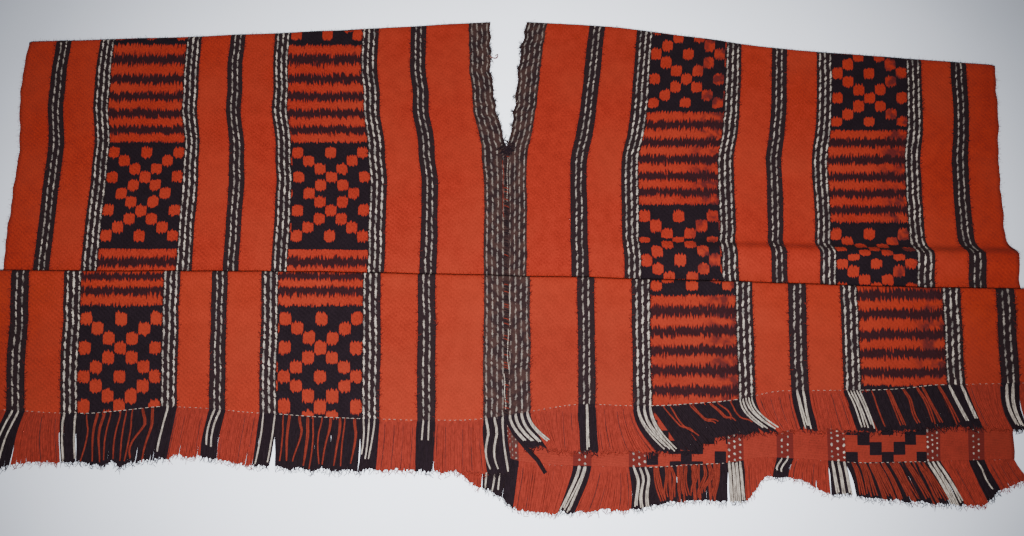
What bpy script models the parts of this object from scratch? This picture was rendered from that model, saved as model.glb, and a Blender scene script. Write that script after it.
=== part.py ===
"""A woven wool poncho, laid flat and folded in half at the shoulders.

Two loom widths of cloth lie side by side, joined along the middle except at the neck slit.
Each runs from the back hem up to the shoulder fold, over it, and down to the front hem, with one
tuck lying across the front. Each hem ends in a fringe of the cloth's own warp ends.

Metres, +Z up, +X to the right and +Y towards the shoulders. The origin is on the floor, at the
centre of what the poncho covers.
"""

import math
from collections import namedtuple

import bmesh
import bpy

# Driving sizes of the cloth
CLOTH = 0.0022  # thickness of the fulled wool
LAYER_GAP = 0.0004  # air between two layers that lie on each other
PIECE_GAP = 0.0003  # between two pieces that meet
HEM_GAP = 0.0005  # between a hem and its fringe, more than the gap itself where a hem slopes
SEAM_X = -0.007  # where the two loom widths meet
SHOULDER_RADIUS = 0.0020  # middle of the wall, round the shoulder fold
SHOULDER_SETTLE = 0.022  # the front comes down to rest on the back over this length

# The tuck across the front and the soft ridge beside it
TUCK_DEPTH = 0.024  # how far the tuck lies over itself
TUCK_FOOT_RADIUS = 0.0013
TUCK_CREST_RADIUS = 0.0026
TUCK_SETTLE = 0.040
RIDGE_HEIGHT = 0.0085
RIDGE_TO_TUCK = 0.045  # from the tuck's crest up to the ridge's own crest
RIDGE_STEEP = 0.015  # its side towards the shoulders
RIDGE_GENTLE = 0.034  # its side towards the tuck
OVERHANG_DROP = 0.0023  # the front's outer edge sinks by this, past the back's
OVERHANG_START = 0.965  # share of the front's width where it starts to sink

# Fringe
STRIP = 0.005  # woven strip that the locks grow from
LOCK_THICKNESS = 0.0017
LOCK_GAP = 0.0022
LOCK_TIP_SHARE = 0.55  # a tip's width as a share of its root's
FLOOR_CLEARANCE = 0.00035
LOCK_CLEARANCE = 0.0006  # over the back layer and its fringe
LOCK_FALL = 0.030  # a lock comes down to the floor over this length past the back's fringe
SHORTEST_LOCK = 0.012

LAYER = CLOTH + LAYER_GAP
BACK_LEVEL = CLOTH / 2
FRONT_LEVEL = BACK_LEVEL + LAYER
TUCK_MIDDLE_LEVEL = FRONT_LEVEL + 2 * TUCK_FOOT_RADIUS
TUCK_TOP_LEVEL = TUCK_MIDDLE_LEVEL + 2 * TUCK_CREST_RADIUS

# The bands of the weave, from the middle seam out to the selvedge, and the fringe locks of each
Band = namedtuple("Band", "name width locks")
BANDS = (
    Band("seam_stripe", 0.0295, 2),
    Band("plain_6", 0.0600, 5),
    Band("double_line_2", 0.0220, 2),
    Band("plain_5", 0.0455, 4),
    Band("triple_line_4", 0.0220, 2),
    Band("figured_2", 0.1030, 8),
    Band("triple_line_3", 0.0205, 2),
    Band("plain_4", 0.0420, 3),
    Band("double_line_1", 0.0205, 2),
    Band("plain_3", 0.0405, 3),
    Band("triple_line_2", 0.0205, 2),
    Band("figured_1", 0.1010, 8),
    Band("triple_line_1", 0.0205, 2),
    Band("plain_2", 0.0405, 3),
    Band("edge_line", 0.0210, 2),
    Band("plain_1", 0.0390, 3),
)
LOOM_WIDTH = sum(band.width for band in BANDS)

# How each panel lies. A row of Line is a place across the panel, from 0 at the seam to 1 at the selvedge.
# A row of Edge is a place along it: how far out its two long edges lie from the seam line at that y.
Line = namedtuple("Line", "across y")
Edge = namedtuple("Edge", "y inner outer")
Lean = namedtuple("Lean", "across outward")
Lay = namedtuple(
    "Lay",
    "shoulder tuck front_hem front_tips back_hem back_tips "
    "upper lower back front_lean back_lean ridge",
)

LEFT = Lay(
    shoulder=(
        Line(0, 0.3396), Line(0.16, 0.3330), Line(0.36, 0.3250), Line(0.74, 0.3133), Line(1, 0.3070),
    ),
    tuck=(Line(0, -0.0427), Line(0.41, -0.0373), Line(0.81, -0.0360), Line(1, -0.0346)),
    front_hem=(
        Line(0, -0.2250), Line(0.10, -0.2313), Line(0.26, -0.2290), Line(0.43, -0.2240),
        Line(0.65, -0.2140), Line(0.80, -0.2227), Line(1, -0.2160),
    ),
    front_tips=(
        Line(0, -0.2940), Line(0.15, -0.2900), Line(0.37, -0.2880), Line(0.47, -0.2830),
        Line(0.59, -0.2720), Line(0.73, -0.2820), Line(0.85, -0.2790), Line(1, -0.2920),
    ),
    back_hem=(
        Line(0, -0.2750), Line(0.08, -0.2600), Line(0.16, -0.2260), Line(0.30, -0.2010),
        Line(1, -0.1950),
    ),
    back_tips=(
        Line(0, -0.3190), Line(0.06, -0.3060), Line(0.12, -0.2770), Line(0.25, -0.2500),
        Line(1, -0.2420),
    ),
    upper=(
        Edge(0.3396, 0.0240, 0.6690), Edge(0.2777, 0.0236, 0.6695), Edge(0.2146, 0.0149, 0.6665),
        Edge(0.1354, 0.0000, 0.6550), Edge(0.0480, 0.0000, 0.6520), Edge(-0.0427, 0.0000, 0.6465),
    ),
    lower=(
        Edge(-0.0427, 0.0000, 0.6725), Edge(-0.1400, 0.0000, 0.6630), Edge(-0.2250, 0.0000, 0.6490),
    ),
    back=(
        Edge(0.3396, 0.0240, 0.6690), Edge(0.2777, 0.0236, 0.6650), Edge(0.2146, 0.0149, 0.6620),
        Edge(0.1354, 0.0000, 0.6510), Edge(0.0480, 0.0000, 0.6470), Edge(-0.2750, 0.0000, 0.6180),
    ),
    front_lean=(
        Lean(0, -0.007), Lean(0.10, 0.000), Lean(0.60, 0.003), Lean(0.80, -0.002),
        Lean(0.87, -0.006), Lean(0.93, 0.012), Lean(1, 0.014),
    ),
    back_lean=(Lean(0, 0.004), Lean(0.10, 0.000), Lean(1, 0.002)),
    ridge=(Line(0, 0), Line(1, 0)),
)

RIGHT = Lay(
    shoulder=(
        Line(0, 0.3396), Line(0.16, 0.3330), Line(0.35, 0.3166), Line(0.54, 0.2970),
        Line(0.72, 0.2858), Line(1, 0.2697),
    ),
    tuck=(
        Line(0, -0.0427), Line(0.25, -0.0468), Line(0.50, -0.0522), Line(0.83, -0.0590),
        Line(1, -0.0605),
    ),
    front_hem=(
        Line(0, -0.2250), Line(0.15, -0.2115), Line(0.27, -0.2130), Line(0.43, -0.2053),
        Line(0.52, -0.1940), Line(0.66, -0.1940), Line(0.82, -0.1866), Line(1, -0.1840),
    ),
    front_tips=(
        Line(0, -0.2600), Line(0.15, -0.2665), Line(0.28, -0.2665), Line(0.36, -0.2480),
        Line(0.55, -0.2400), Line(0.65, -0.2420), Line(0.80, -0.2370), Line(1, -0.2440),
    ),
    back_hem=(
        Line(0, -0.2750), Line(0.10, -0.2844), Line(0.27, -0.2870), Line(0.44, -0.2815),
        Line(0.51, -0.2760), Line(0.70, -0.2815), Line(1, -0.2780),
    ),
    back_tips=(
        Line(0, -0.3200), Line(0.09, -0.3390), Line(0.22, -0.3360), Line(0.37, -0.3240),
        Line(0.46, -0.3255), Line(0.52, -0.2960), Line(0.58, -0.2990), Line(0.62, -0.3150),
        Line(0.78, -0.3270), Line(0.89, -0.3300), Line(0.94, -0.3130), Line(1, -0.2986),
    ),
    upper=(
        Edge(0.3396, 0.0268, 0.6795), Edge(0.2777, 0.0181, 0.6770), Edge(0.1990, 0.0084, 0.6700),
        Edge(0.1354, 0.0000, 0.6600), Edge(0.0610, 0.0000, 0.6525), Edge(0.0104, 0.0000, 0.6486),
        Edge(-0.0160, 0.0000, 0.6580), Edge(-0.0600, 0.0000, 0.6560),
    ),
    lower=(
        Edge(-0.0427, 0.0000, 0.6880), Edge(-0.1200, 0.0000, 0.6820), Edge(-0.2250, 0.0000, 0.6700),
    ),
    back=(
        Edge(0.3396, 0.0268, 0.6795), Edge(0.2777, 0.0181, 0.6730), Edge(0.1990, 0.0084, 0.6660),
        Edge(0.1354, 0.0000, 0.6560), Edge(0.0610, 0.0000, 0.6490), Edge(-0.1000, 0.0000, 0.6350),
        Edge(-0.2850, 0.0000, 0.6110),
    ),
    front_lean=(
        Lean(0, 0.012), Lean(0.05, 0.012), Lean(0.10, 0.000), Lean(0.20, 0.004), Lean(0.26, 0.020),
        Lean(0.36, 0.018), Lean(0.45, 0.014), Lean(0.51, 0.004), Lean(0.62, 0.006), Lean(0.75, 0.010),
        Lean(0.86, 0.013), Lean(0.92, 0.006), Lean(1, 0.002),
    ),
    back_lean=(
        Lean(0, -0.004), Lean(0.10, -0.008), Lean(0.16, -0.018), Lean(0.25, -0.002), Lean(0.45, 0.000),
        Lean(0.60, -0.006), Lean(0.70, 0.006), Lean(0.80, 0.016), Lean(0.90, 0.020), Lean(1, 0.012),
    ),
    ridge=(Line(0, 0), Line(0.22, 0.15), Line(0.45, 0.70), Line(0.75, 1.0), Line(1, 0.9)),
)

# Points along one section of a panel, from the back hem to the front hem
BACK_STEPS = 6
TURN_STEPS = 5
SETTLE_STEPS = 2
UPPER_STEPS = 4
RIDGE_STEPS = 8
TUCK_STEPS = 2
LOWER_STEPS = 4
LOCK_STEPS = 3

WOOL = {
    "panel": ((0.52, 0.085, 0.025, 1.0), 0.95),
    "fringe": ((0.38, 0.070, 0.030, 1.0), 0.97),
}


def smooth(share):
    """An even step from 0 to 1, level at both ends."""
    share = max(0.0, min(1.0, share))
    return share * share * (3 - 2 * share)


def along(rows, at, column):
    """A column of a table at a place in its first column, on a smooth curve with no overshoot."""
    places = [row[0] for row in rows]
    values = [getattr(row, column) for row in rows]
    if places[0] > places[-1]:
        places = [-place for place in places]
        at = -at
    if at <= places[0]:
        return values[0]
    if at >= places[-1]:
        return values[-1]
    last = len(places) - 1
    rises = [(values[k + 1] - values[k]) / (places[k + 1] - places[k]) for k in range(last)]
    slopes = [rises[0]]
    for before, after in zip(rises, rises[1:]):
        slopes.append(2 * before * after / (before + after) if before * after > 0 else 0.0)
    slopes.append(rises[-1])
    i = max(k for k in range(last) if places[k] <= at)
    span = places[i + 1] - places[i]
    u = (at - places[i]) / span
    return (
        (1 + 2 * u) * (1 - u) ** 2 * values[i]
        + u * (1 - u) ** 2 * span * slopes[i]
        + u * u * (3 - 2 * u) * values[i + 1]
        - u * u * (1 - u) * span * slopes[i + 1]
    )


def turn(centre_y, centre_z, radius, towards):
    """Half a circle of (y, z) points from below to above, bulging to +Y or -Y, its ends left out."""
    angles = [math.pi * k / (TURN_STEPS + 1) for k in range(1, TURN_STEPS + 1)]
    return [
        (centre_y + towards * radius * math.sin(a), centre_z - radius * math.cos(a)) for a in angles
    ]


def run(start, end, steps):
    """Evenly spaced places from start to end, the start left out."""
    return [start + (end - start) * k / steps for k in range(1, steps + 1)]


def ridge_height(lay, across, y):
    """Height of the soft ridge over the front's own level."""
    crest = along(lay.tuck, across, "y") + RIDGE_TO_TUCK
    width = RIDGE_STEEP if y > crest else RIDGE_GENTLE
    reach = abs(y - crest) / width
    return RIDGE_HEIGHT * along(lay.ridge, across, "y") * (1 - smooth(reach))


def front_sink(across):
    """How far the front sinks near its outer edge, where it hangs out past the back."""
    return OVERHANG_DROP * max(0.0, (across - OVERHANG_START) / (1 - OVERHANG_START))


def section(lay, across):
    """One section of a panel along the warp: rows of (part, y, z) from the back hem to the front."""
    shoulder = along(lay.shoulder, across, "y")
    tuck = along(lay.tuck, across, "y")
    back_hem = along(lay.back_hem, across, "y")
    front_hem = along(lay.front_hem, across, "y")
    fold_y = shoulder - CLOTH / 2 - SHOULDER_RADIUS
    foot_y = tuck - TUCK_DEPTH
    crest_y = tuck - CLOTH / 2 - TUCK_CREST_RADIUS
    ridge_top = tuck + RIDGE_TO_TUCK + RIDGE_STEEP
    ridge_end = tuck + RIDGE_TO_TUCK - RIDGE_GENTLE

    rows = [("back", back_hem, BACK_LEVEL)]
    rows += [("back", y, BACK_LEVEL) for y in run(back_hem, fold_y, BACK_STEPS)]
    rows += [
        ("back", y, z) for y, z in turn(fold_y, BACK_LEVEL + SHOULDER_RADIUS, SHOULDER_RADIUS, 1)
    ]
    top = BACK_LEVEL + 2 * SHOULDER_RADIUS
    rows.append(("upper", fold_y, top))
    for y in run(fold_y, fold_y - SHOULDER_SETTLE, SETTLE_STEPS):
        rows.append(("upper", y, top - (top - FRONT_LEVEL) * smooth((fold_y - y) / SHOULDER_SETTLE)))
    rows += [("upper", y, FRONT_LEVEL) for y in run(fold_y - SHOULDER_SETTLE, ridge_top, UPPER_STEPS)]
    for y in run(ridge_top, ridge_end, RIDGE_STEPS):
        rows.append(("upper", y, FRONT_LEVEL + ridge_height(lay, across, y)))
    rows += [("upper", y, FRONT_LEVEL) for y in run(ridge_end, foot_y, TUCK_STEPS)]
    rows += [
        ("fold", y, z) for y, z in turn(foot_y, FRONT_LEVEL + TUCK_FOOT_RADIUS, TUCK_FOOT_RADIUS, -1)
    ]
    rows.append(("fold", foot_y, TUCK_MIDDLE_LEVEL))
    rows.append(("fold", crest_y, TUCK_MIDDLE_LEVEL))
    rows += [
        ("lower", y, z)
        for y, z in turn(crest_y, TUCK_MIDDLE_LEVEL + TUCK_CREST_RADIUS, TUCK_CREST_RADIUS, 1)
    ]
    rows.append(("lower", crest_y, TUCK_TOP_LEVEL))
    on_tuck = TUCK_MIDDLE_LEVEL + LAYER
    for y in run(crest_y, foot_y, TUCK_STEPS):
        share = smooth((crest_y - y) / (crest_y - foot_y))
        rows.append(("lower", y, TUCK_TOP_LEVEL - (TUCK_TOP_LEVEL - on_tuck) * share))
    edge = foot_y - TUCK_FOOT_RADIUS - CLOTH
    at_edge = on_tuck - LAYER_GAP / 2
    rows.append(("lower", edge, at_edge))
    for y in run(edge, edge - TUCK_SETTLE, LOWER_STEPS):
        share = smooth((edge - y) / TUCK_SETTLE)
        rows.append(("lower", y, at_edge - (at_edge - FRONT_LEVEL) * share))
    rows += [("lower", y, FRONT_LEVEL) for y in run(edge - TUCK_SETTLE, front_hem, LOWER_STEPS)]
    return rows


def edges_at(lay, part, y, tuck):
    """How far out a panel's inner and outer long edges lie at one row of its section."""
    if part in ("back", "upper", "lower"):
        table = getattr(lay, part)
        return along(table, y, "inner"), along(table, y, "outer")
    outer_above = along(lay.upper, tuck - TUCK_DEPTH, "outer")
    outer_below = along(lay.lower, tuck, "outer")
    share = smooth((y - (tuck - TUCK_DEPTH)) / TUCK_DEPTH)
    return 0.0, outer_above + (outer_below - outer_above) * share


def place(lay, side, part, across, y, z):
    """A point of the cloth: side is -1 for the left panel and 1 for the right one."""
    inner, outer = edges_at(lay, part, y, along(lay.tuck, across, "y"))
    out = inner + (outer - inner) * across
    if part == "lower":
        z -= front_sink(across)
    return SEAM_X + side * (PIECE_GAP / 2 + out), y, z


def band_edges():
    """Places across the panel where one band of the weave meets the next, and where its edge sinks."""
    edges = [0.0]
    for band in BANDS:
        edges.append(edges[-1] + band.width / LOOM_WIDTH)
    return edges[:-1] + [OVERHANG_START, 1.0]


def on_hem(lay, side, part, hem, across, level):
    """A point of a hem as the panel's own straight stretches run, from one band's edge to the next."""
    columns = band_edges()
    i = max(k for k in range(len(columns) - 1) if columns[k] <= across)
    share = (across - columns[i]) / (columns[i + 1] - columns[i])
    ends = [place(lay, side, part, c, along(hem, c, "y"), level) for c in columns[i:i + 2]]
    return [a + (b - a) * share for a, b in zip(*ends)]


def wool(name, kind):
    colour, roughness = WOOL[kind]
    material = bpy.data.materials.new(name)
    material.use_nodes = True
    shader = material.node_tree.nodes["Principled BSDF"]
    shader.inputs["Base Color"].default_value = colour
    shader.inputs["Roughness"].default_value = roughness
    shader.inputs["Metallic"].default_value = 0.0
    return material


def add_piece(name, bm, kind, collection):
    mesh = bpy.data.meshes.new(name)
    bm.to_mesh(mesh)
    bm.free()
    piece = bpy.data.objects.new(name, mesh)
    collection.objects.link(piece)
    mesh.materials.append(wool(name, kind))
    mesh.shade_smooth()
    mesh.set_sharp_from_angle(angle=math.radians(50))
    return piece


def panel(name, lay, side, collection):
    """One loom width: a grid draped along its sections, then given the cloth's thickness."""
    places = band_edges()
    sections = [section(lay, across) for across in places]
    rows = len(sections[0])
    bm = bmesh.new()
    grid = bmesh.ops.create_grid(bm, x_segments=len(places) - 1, y_segments=rows - 1, size=0.5)
    for vertex in grid["verts"]:
        i = round((vertex.co.x + 0.5) * (len(places) - 1))
        j = round((vertex.co.y + 0.5) * (rows - 1))
        part, y, z = sections[i][j]
        vertex.co = place(lay, side, part, places[i], y, z)
    piece = add_piece(name, bm, "panel", collection)
    wall = piece.modifiers.new("Wall", "SOLIDIFY")
    wall.thickness = CLOTH
    wall.offset = 0.0
    wall.use_even_offset = True
    return piece


def lock_cells():
    """Places across the panel where each lock starts and ends, with half a gap at either side of it."""
    cells = []
    start = 0.0
    for band in BANDS:
        pitch = band.width / band.locks
        for k in range(band.locks):
            first = start + k * pitch + LOCK_GAP / 2
            cells.append((first / LOOM_WIDTH, (first + pitch - LOCK_GAP) / LOOM_WIDTH))
        start += band.width
    return cells


def fringe(name, lay, side, layer, collection):
    """A woven strip just clear of the hem, with a row of tapering locks grown out of it."""
    part, hem, tips, lean = {
        "front": ("lower", lay.front_hem, lay.front_tips, lay.front_lean),
        "back": ("back", lay.back_hem, lay.back_tips, lay.back_lean),
    }[layer]
    level = FRONT_LEVEL if layer == "front" else BACK_LEVEL
    cells = lock_cells()
    columns = [0.0] + [share for cell in cells for share in cell] + [1.0]
    bm = bmesh.new()
    grid = bmesh.ops.create_grid(bm, x_segments=len(columns) - 1, y_segments=1, size=0.5)
    for vertex in grid["verts"]:
        i = round((vertex.co.x + 0.5) * (len(columns) - 1))
        into = HEM_GAP if vertex.co.y > 0 else HEM_GAP + STRIP
        x, y, z = on_hem(lay, side, part, hem, columns[i], level)
        vertex.co = (x, y - into, z - CLOTH / 2)
    lifted = bmesh.ops.extrude_face_region(bm, geom=bm.faces[:])
    raised = [item for item in lifted["geom"] if isinstance(item, bmesh.types.BMVert)]
    bmesh.ops.translate(bm, verts=raised, vec=(0, 0, CLOTH))
    bmesh.ops.recalc_face_normals(bm, faces=bm.faces[:])
    bm.normal_update()
    ends = [face for face in bm.faces if is_lock_root(face, columns, lay, side, part, hem)]
    ends.sort(key=lambda face: side * face.calc_center_median().x)
    for face, (first, last) in zip(ends, cells, strict=True):
        grow_lock(bm, face, lay, side, layer, (first + last) / 2, hem, tips, lean)
    return add_piece(name, bm, "fringe", collection)


def is_lock_root(face, columns, lay, side, part, hem):
    """Whether a face of the strip looks away from the hem and is the root of a lock, not a gap."""
    if face.normal.y > -0.5:
        return False
    xs = sorted(side * vertex.co.x for vertex in face.verts)
    middle = (xs[0] + xs[-1]) / 2
    outs = [side * on_hem(lay, side, part, hem, share, 0.0)[0] for share in columns]
    i = max(k for k in range(len(outs) - 1) if outs[k] <= middle)
    return i % 2 == 1


def grow_lock(bm, face, lay, side, layer, across, hem, tips, lean):
    """One lock: its root face drawn out in steps, leaning and narrowing as it goes down to rest."""
    hem_y = along(hem, across, "y")
    length = max(SHORTEST_LOCK, hem_y - along(tips, across, "y") - STRIP)
    root = face.calc_center_median()
    width = max(abs(a.co.x - b.co.x) for a in face.verts for b in face.verts)
    for step in range(1, LOCK_STEPS + 1):
        share = step / LOCK_STEPS
        face = bmesh.ops.extrude_discrete_faces(bm, faces=[face])["faces"][0]
        centre_x = root.x + side * along(lean, across, "outward") * share ** 1.5
        centre_y = root.y - length * share
        centre_z = min(root.z, lock_level(lay, layer, across, centre_y))
        half = width / 2 * (1 - (1 - LOCK_TIP_SHARE) * share)
        middle = face.calc_center_median()
        for vertex in face.verts:
            vertex.co = (
                centre_x + math.copysign(half, vertex.co.x - middle.x),
                centre_y,
                centre_z + math.copysign(LOCK_THICKNESS / 2, vertex.co.z - middle.z),
            )


def lock_level(lay, layer, across, y):
    """Height of a lock's middle: just above the floor, or above the back layer that it lies on."""
    on_floor = FLOOR_CLEARANCE + LOCK_THICKNESS / 2
    if layer == "back":
        return on_floor
    on_back = CLOTH + LOCK_CLEARANCE + LOCK_THICKNESS / 2
    past = along(lay.back_tips, across, "y") - LOCK_GAP - y
    fall = (on_back - on_floor) * smooth(past / LOCK_FALL)
    return max(on_floor, on_back - fall - front_sink(across))


def main():
    for old in list(bpy.data.objects):
        bpy.data.objects.remove(old)
    poncho = bpy.data.collections.new("poncho")
    bpy.context.scene.collection.children.link(poncho)
    for name, lay, side in (("left", LEFT, -1), ("right", RIGHT, 1)):
        panel(f"{name}_panel", lay, side, poncho)
        for layer in ("front", "back"):
            fringe(f"{layer}_{name}_fringe", lay, side, layer, poncho)


main()
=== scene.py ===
"""Looks for a handwoven wool poncho that lies flat, folded at the shoulders.

The cloth of each loom width is laid over its solid as a thin shell, and its stripes and charted figures are
drawn from the cloth's own warp and weft lengths. The fringe is spun from single yarns, and the sewing is laid
over the seam, the hems and the foot of the neck slit.
"""

import math
import random
from collections import namedtuple
from functools import partial

import bmesh
import bpy
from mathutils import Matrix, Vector, noise


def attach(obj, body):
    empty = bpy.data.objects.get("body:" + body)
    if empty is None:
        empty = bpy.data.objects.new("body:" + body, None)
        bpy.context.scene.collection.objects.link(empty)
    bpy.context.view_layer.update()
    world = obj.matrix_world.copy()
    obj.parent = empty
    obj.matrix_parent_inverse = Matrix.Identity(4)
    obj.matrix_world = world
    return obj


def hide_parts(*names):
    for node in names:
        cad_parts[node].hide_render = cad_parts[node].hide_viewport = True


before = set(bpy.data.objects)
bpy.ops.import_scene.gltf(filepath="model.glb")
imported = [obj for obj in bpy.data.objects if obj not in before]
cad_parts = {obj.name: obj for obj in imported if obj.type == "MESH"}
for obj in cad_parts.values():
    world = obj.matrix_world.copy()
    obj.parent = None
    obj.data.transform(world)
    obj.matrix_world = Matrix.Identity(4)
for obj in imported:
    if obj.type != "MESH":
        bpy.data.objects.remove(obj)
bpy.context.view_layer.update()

bl_info = {
    "name": "Wool Poncho",
    "version": (1, 0, 0),
    "blender": (4, 5, 0),
    "location": "3D View > Sidebar > Poncho",
    "description": "Lays out a handwoven wool poncho with figured stripes and fringed hems",
    "category": "Object",
}

# Sizes of the cloth, in metres
CLOTH = 0.0022
LAYER = CLOTH + 0.0004
PIECE_GAP = 0.0003
SEAM_X = -0.007
SHOULDER_RADIUS = 0.0020
SHOULDER_SETTLE = 0.022
TUCK_DEPTH = 0.024
TUCK_FOOT_RADIUS = 0.0013
TUCK_CREST_RADIUS = 0.0026
TUCK_SETTLE = 0.040
RIDGE_HEIGHT = 0.0085
RIDGE_TO_TUCK = 0.045
RIDGE_STEEP = 0.015
RIDGE_GENTLE = 0.034
OVERHANG_DROP = 0.0023
OVERHANG_START = 0.965
BACK_LEVEL = CLOTH / 2
FRONT_LEVEL = BACK_LEVEL + LAYER
TUCK_MIDDLE_LEVEL = FRONT_LEVEL + 2 * TUCK_FOOT_RADIUS
TUCK_TOP_LEVEL = TUCK_MIDDLE_LEVEL + 2 * TUCK_CREST_RADIUS

# Where the sewing lies, in metres
STITCH_LINE = 0.0028  # from the hem
SLIT_FOOT = 0.1370
SLIT_FOOT_HEIGHT = 0.0058

# Yarns and fibres. Fibres are thicker than real ones, which would not show
FIBRE = 0.00035
SEWING_YARN = 0.0013
HEM_YARN = 0.0009
PLY_SPACING = 0.0017
PLAIN_STRAY = 0.0006  # how far a yarn of a plain band wavers, and one of a dark band
DARK_STRAY = 0.0010
# The thin dark yarns are painted shade: they stand in for the shadowed grooves between a plain band's yarns
SHADE_YARN_EVERY = 9  # one thin dark yarn among so many shows the grooves of a plain band's fringe
YARN_ON_FLOOR = 0.0010  # height of a yarn's middle where it rests
YARN_ON_CLOTH = 0.0014
YARN_LOWEST = 0.0015  # so that no yarn dips into the floor
YARN_UNDER_HEM = 0.003  # how far a yarn reaches back under its hem
YARN_POINTS = 10
TIP_GAP = 0.002  # how far past the front's tips the back's yarns lie under it

# The weave's repeats
LINE_PITCH = 0.007  # white lines in a striped band
DASH_PITCH = 0.0125  # one white dash and the gap after it
FIGURE_PITCH = 0.01443  # columns of the charted figure
TWILL_PITCH = 0.0045  # coarser than the real 1.5 mm, which would not show
CHART_REPEAT = 25.5  # rows from one figured block to the next, with eleven half stripes between
BLOCK_START = 0.25  # how far above its first row of dots a block begins, in rows
BLOCK_ROWS = 14.25  # where a block's dark ground ends, in rows from its first row of dots
LAST_DOT_ROW = 12.0  # of a short block, whose lower half mirrors the upper one
CROSS_REPEAT = 6.0  # rows, and columns, from one crossed diagonal of dots to the next
DOT_HALF_WIDTH = 0.57  # in columns
DOT_HALF_HEIGHT = 0.66  # in rows
PICK_PITCH = 0.003  # from one weft yarn to the next

# The bands of the weave, from the middle seam to the selvedge. The first line is how far the band's first
# white line lies from the seam side of the band.
Band = namedtuple("Band", "name width kind lines first_line")
BANDS = (
    Band("seam_stripe", 0.0295, "lines", 4, 0.0045),
    Band("plain_6", 0.0600, "plain", 0, 0),
    Band("double_line_2", 0.0220, "lines", 2, 0.0075),
    Band("plain_5", 0.0455, "plain", 0, 0),
    Band("triple_line_4", 0.0220, "lines", 3, 0.0060),
    Band("figured_2", 0.1030, "figured", 0, 0),
    Band("triple_line_3", 0.0205, "lines", 3, 0.0019),
    Band("plain_4", 0.0420, "plain", 0, 0),
    Band("double_line_1", 0.0205, "lines", 2, 0.0067),
    Band("plain_3", 0.0405, "plain", 0, 0),
    Band("triple_line_2", 0.0205, "lines", 3, 0.0046),
    Band("figured_1", 0.1010, "figured", 0, 0),
    Band("triple_line_1", 0.0205, "lines", 3, 0.0019),
    Band("plain_2", 0.0405, "plain", 0, 0),
    Band("edge_line", 0.0210, "lines", 2, 0.0070),
    Band("plain_1", 0.0390, "plain", 0, 0),
)
LOOM_WIDTH = sum(band.width for band in BANDS)

# How each panel lies. A Line is a place across the panel, from 0 at the seam to 1 at the selvedge, an Edge is
# a place along it, and a Row ties a place along it to a row of the figure's chart.
Line = namedtuple("Line", "across y")
Edge = namedtuple("Edge", "y inner outer")
Lean = namedtuple("Lean", "across outward")
Row = namedtuple("Row", "y row")
Chart = namedtuple("Chart", "upper lower back")
# A Pull draws the weave outward, or inward below 0, inside the panel's edges, from a top to a foot along it
Pull = namedtuple("Pull", "part top foot rows")
PULL_EASE = 0.05
Lay = namedtuple(
    "Lay",
    "shoulder tuck front_hem front_tips back_hem back_tips upper lower back front_lean back_lean ridge "
    "charts short_blocks pulls",
)

LEFT_CHART = Chart(
    upper=(
        Row(0.3375, 11.30), Row(0.3019, 14.25), Row(0.2459, 17.75), Row(0.1929, 21.75), Row(0.1489, 25.25),
        Row(-0.0015, 37.75), Row(-0.0036, 39.75), Row(-0.0222, 41.25),
    ),
    lower=(
        Row(-0.0442, 47.25), Row(-0.0630, 49.25), Row(-0.0831, 50.75), Row(-0.0990, 52.0),
        Row(-0.1497, 56.0), Row(-0.1978, 60.0), Row(-0.2115, 61.0),
    ),
    back=(Row(0.3200, 13.0), Row(-0.2000, -29.0)),
)
RIGHT_CHART_2 = Chart(
    upper=(
        Row(0.3133, 5.0), Row(0.2594, 9.0), Row(0.2088, 13.0), Row(0.1960, 14.25), Row(0.1489, 17.75),
        Row(0.0991, 21.75), Row(0.0578, 25.25), Row(0.0407, 26.5), Row(0.0293, 27.5), Row(0.0143, 28.5),
        Row(0.0080, 29.5), Row(0.0017, 30.5), Row(-0.0080, 31.5), Row(-0.0203, 32.5), Row(-0.0325, 33.5),
        Row(-0.0427, 34.5),
    ),
    lower=(
        Row(-0.0570, 38.5), Row(-0.0684, 39.75), Row(-0.0897, 41.25), Row(-0.1407, 45.25),
        Row(-0.1916, 49.25), Row(-0.2091, 50.6),
    ),
    back=(Row(0.3100, 5.0), Row(-0.2815, -41.65)),
)
RIGHT_CHART_1 = Chart(
    upper=(
        Row(0.2825, 5.0), Row(0.2294, 9.0), Row(0.1796, 13.0), Row(0.1685, 14.25), Row(0.1220, 17.75),
        Row(0.0737, 21.75), Row(0.0322, 25.25), Row(0.0143, 26.5), Row(0.0045, 27.5), Row(-0.0024, 28.5),
        Row(-0.0073, 29.5), Row(-0.0128, 30.5), Row(-0.0190, 31.5), Row(-0.0250, 32.5),
        Row(-0.0359, 33.5), Row(-0.0468, 34.5),
    ),
    lower=(
        Row(-0.0684, 41.25), Row(-0.1200, 45.25), Row(-0.1689, 49.25), Row(-0.1853, 50.75),
    ),
    back=(Row(0.2800, 5.0), Row(-0.2815, -41.65)),
)

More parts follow.
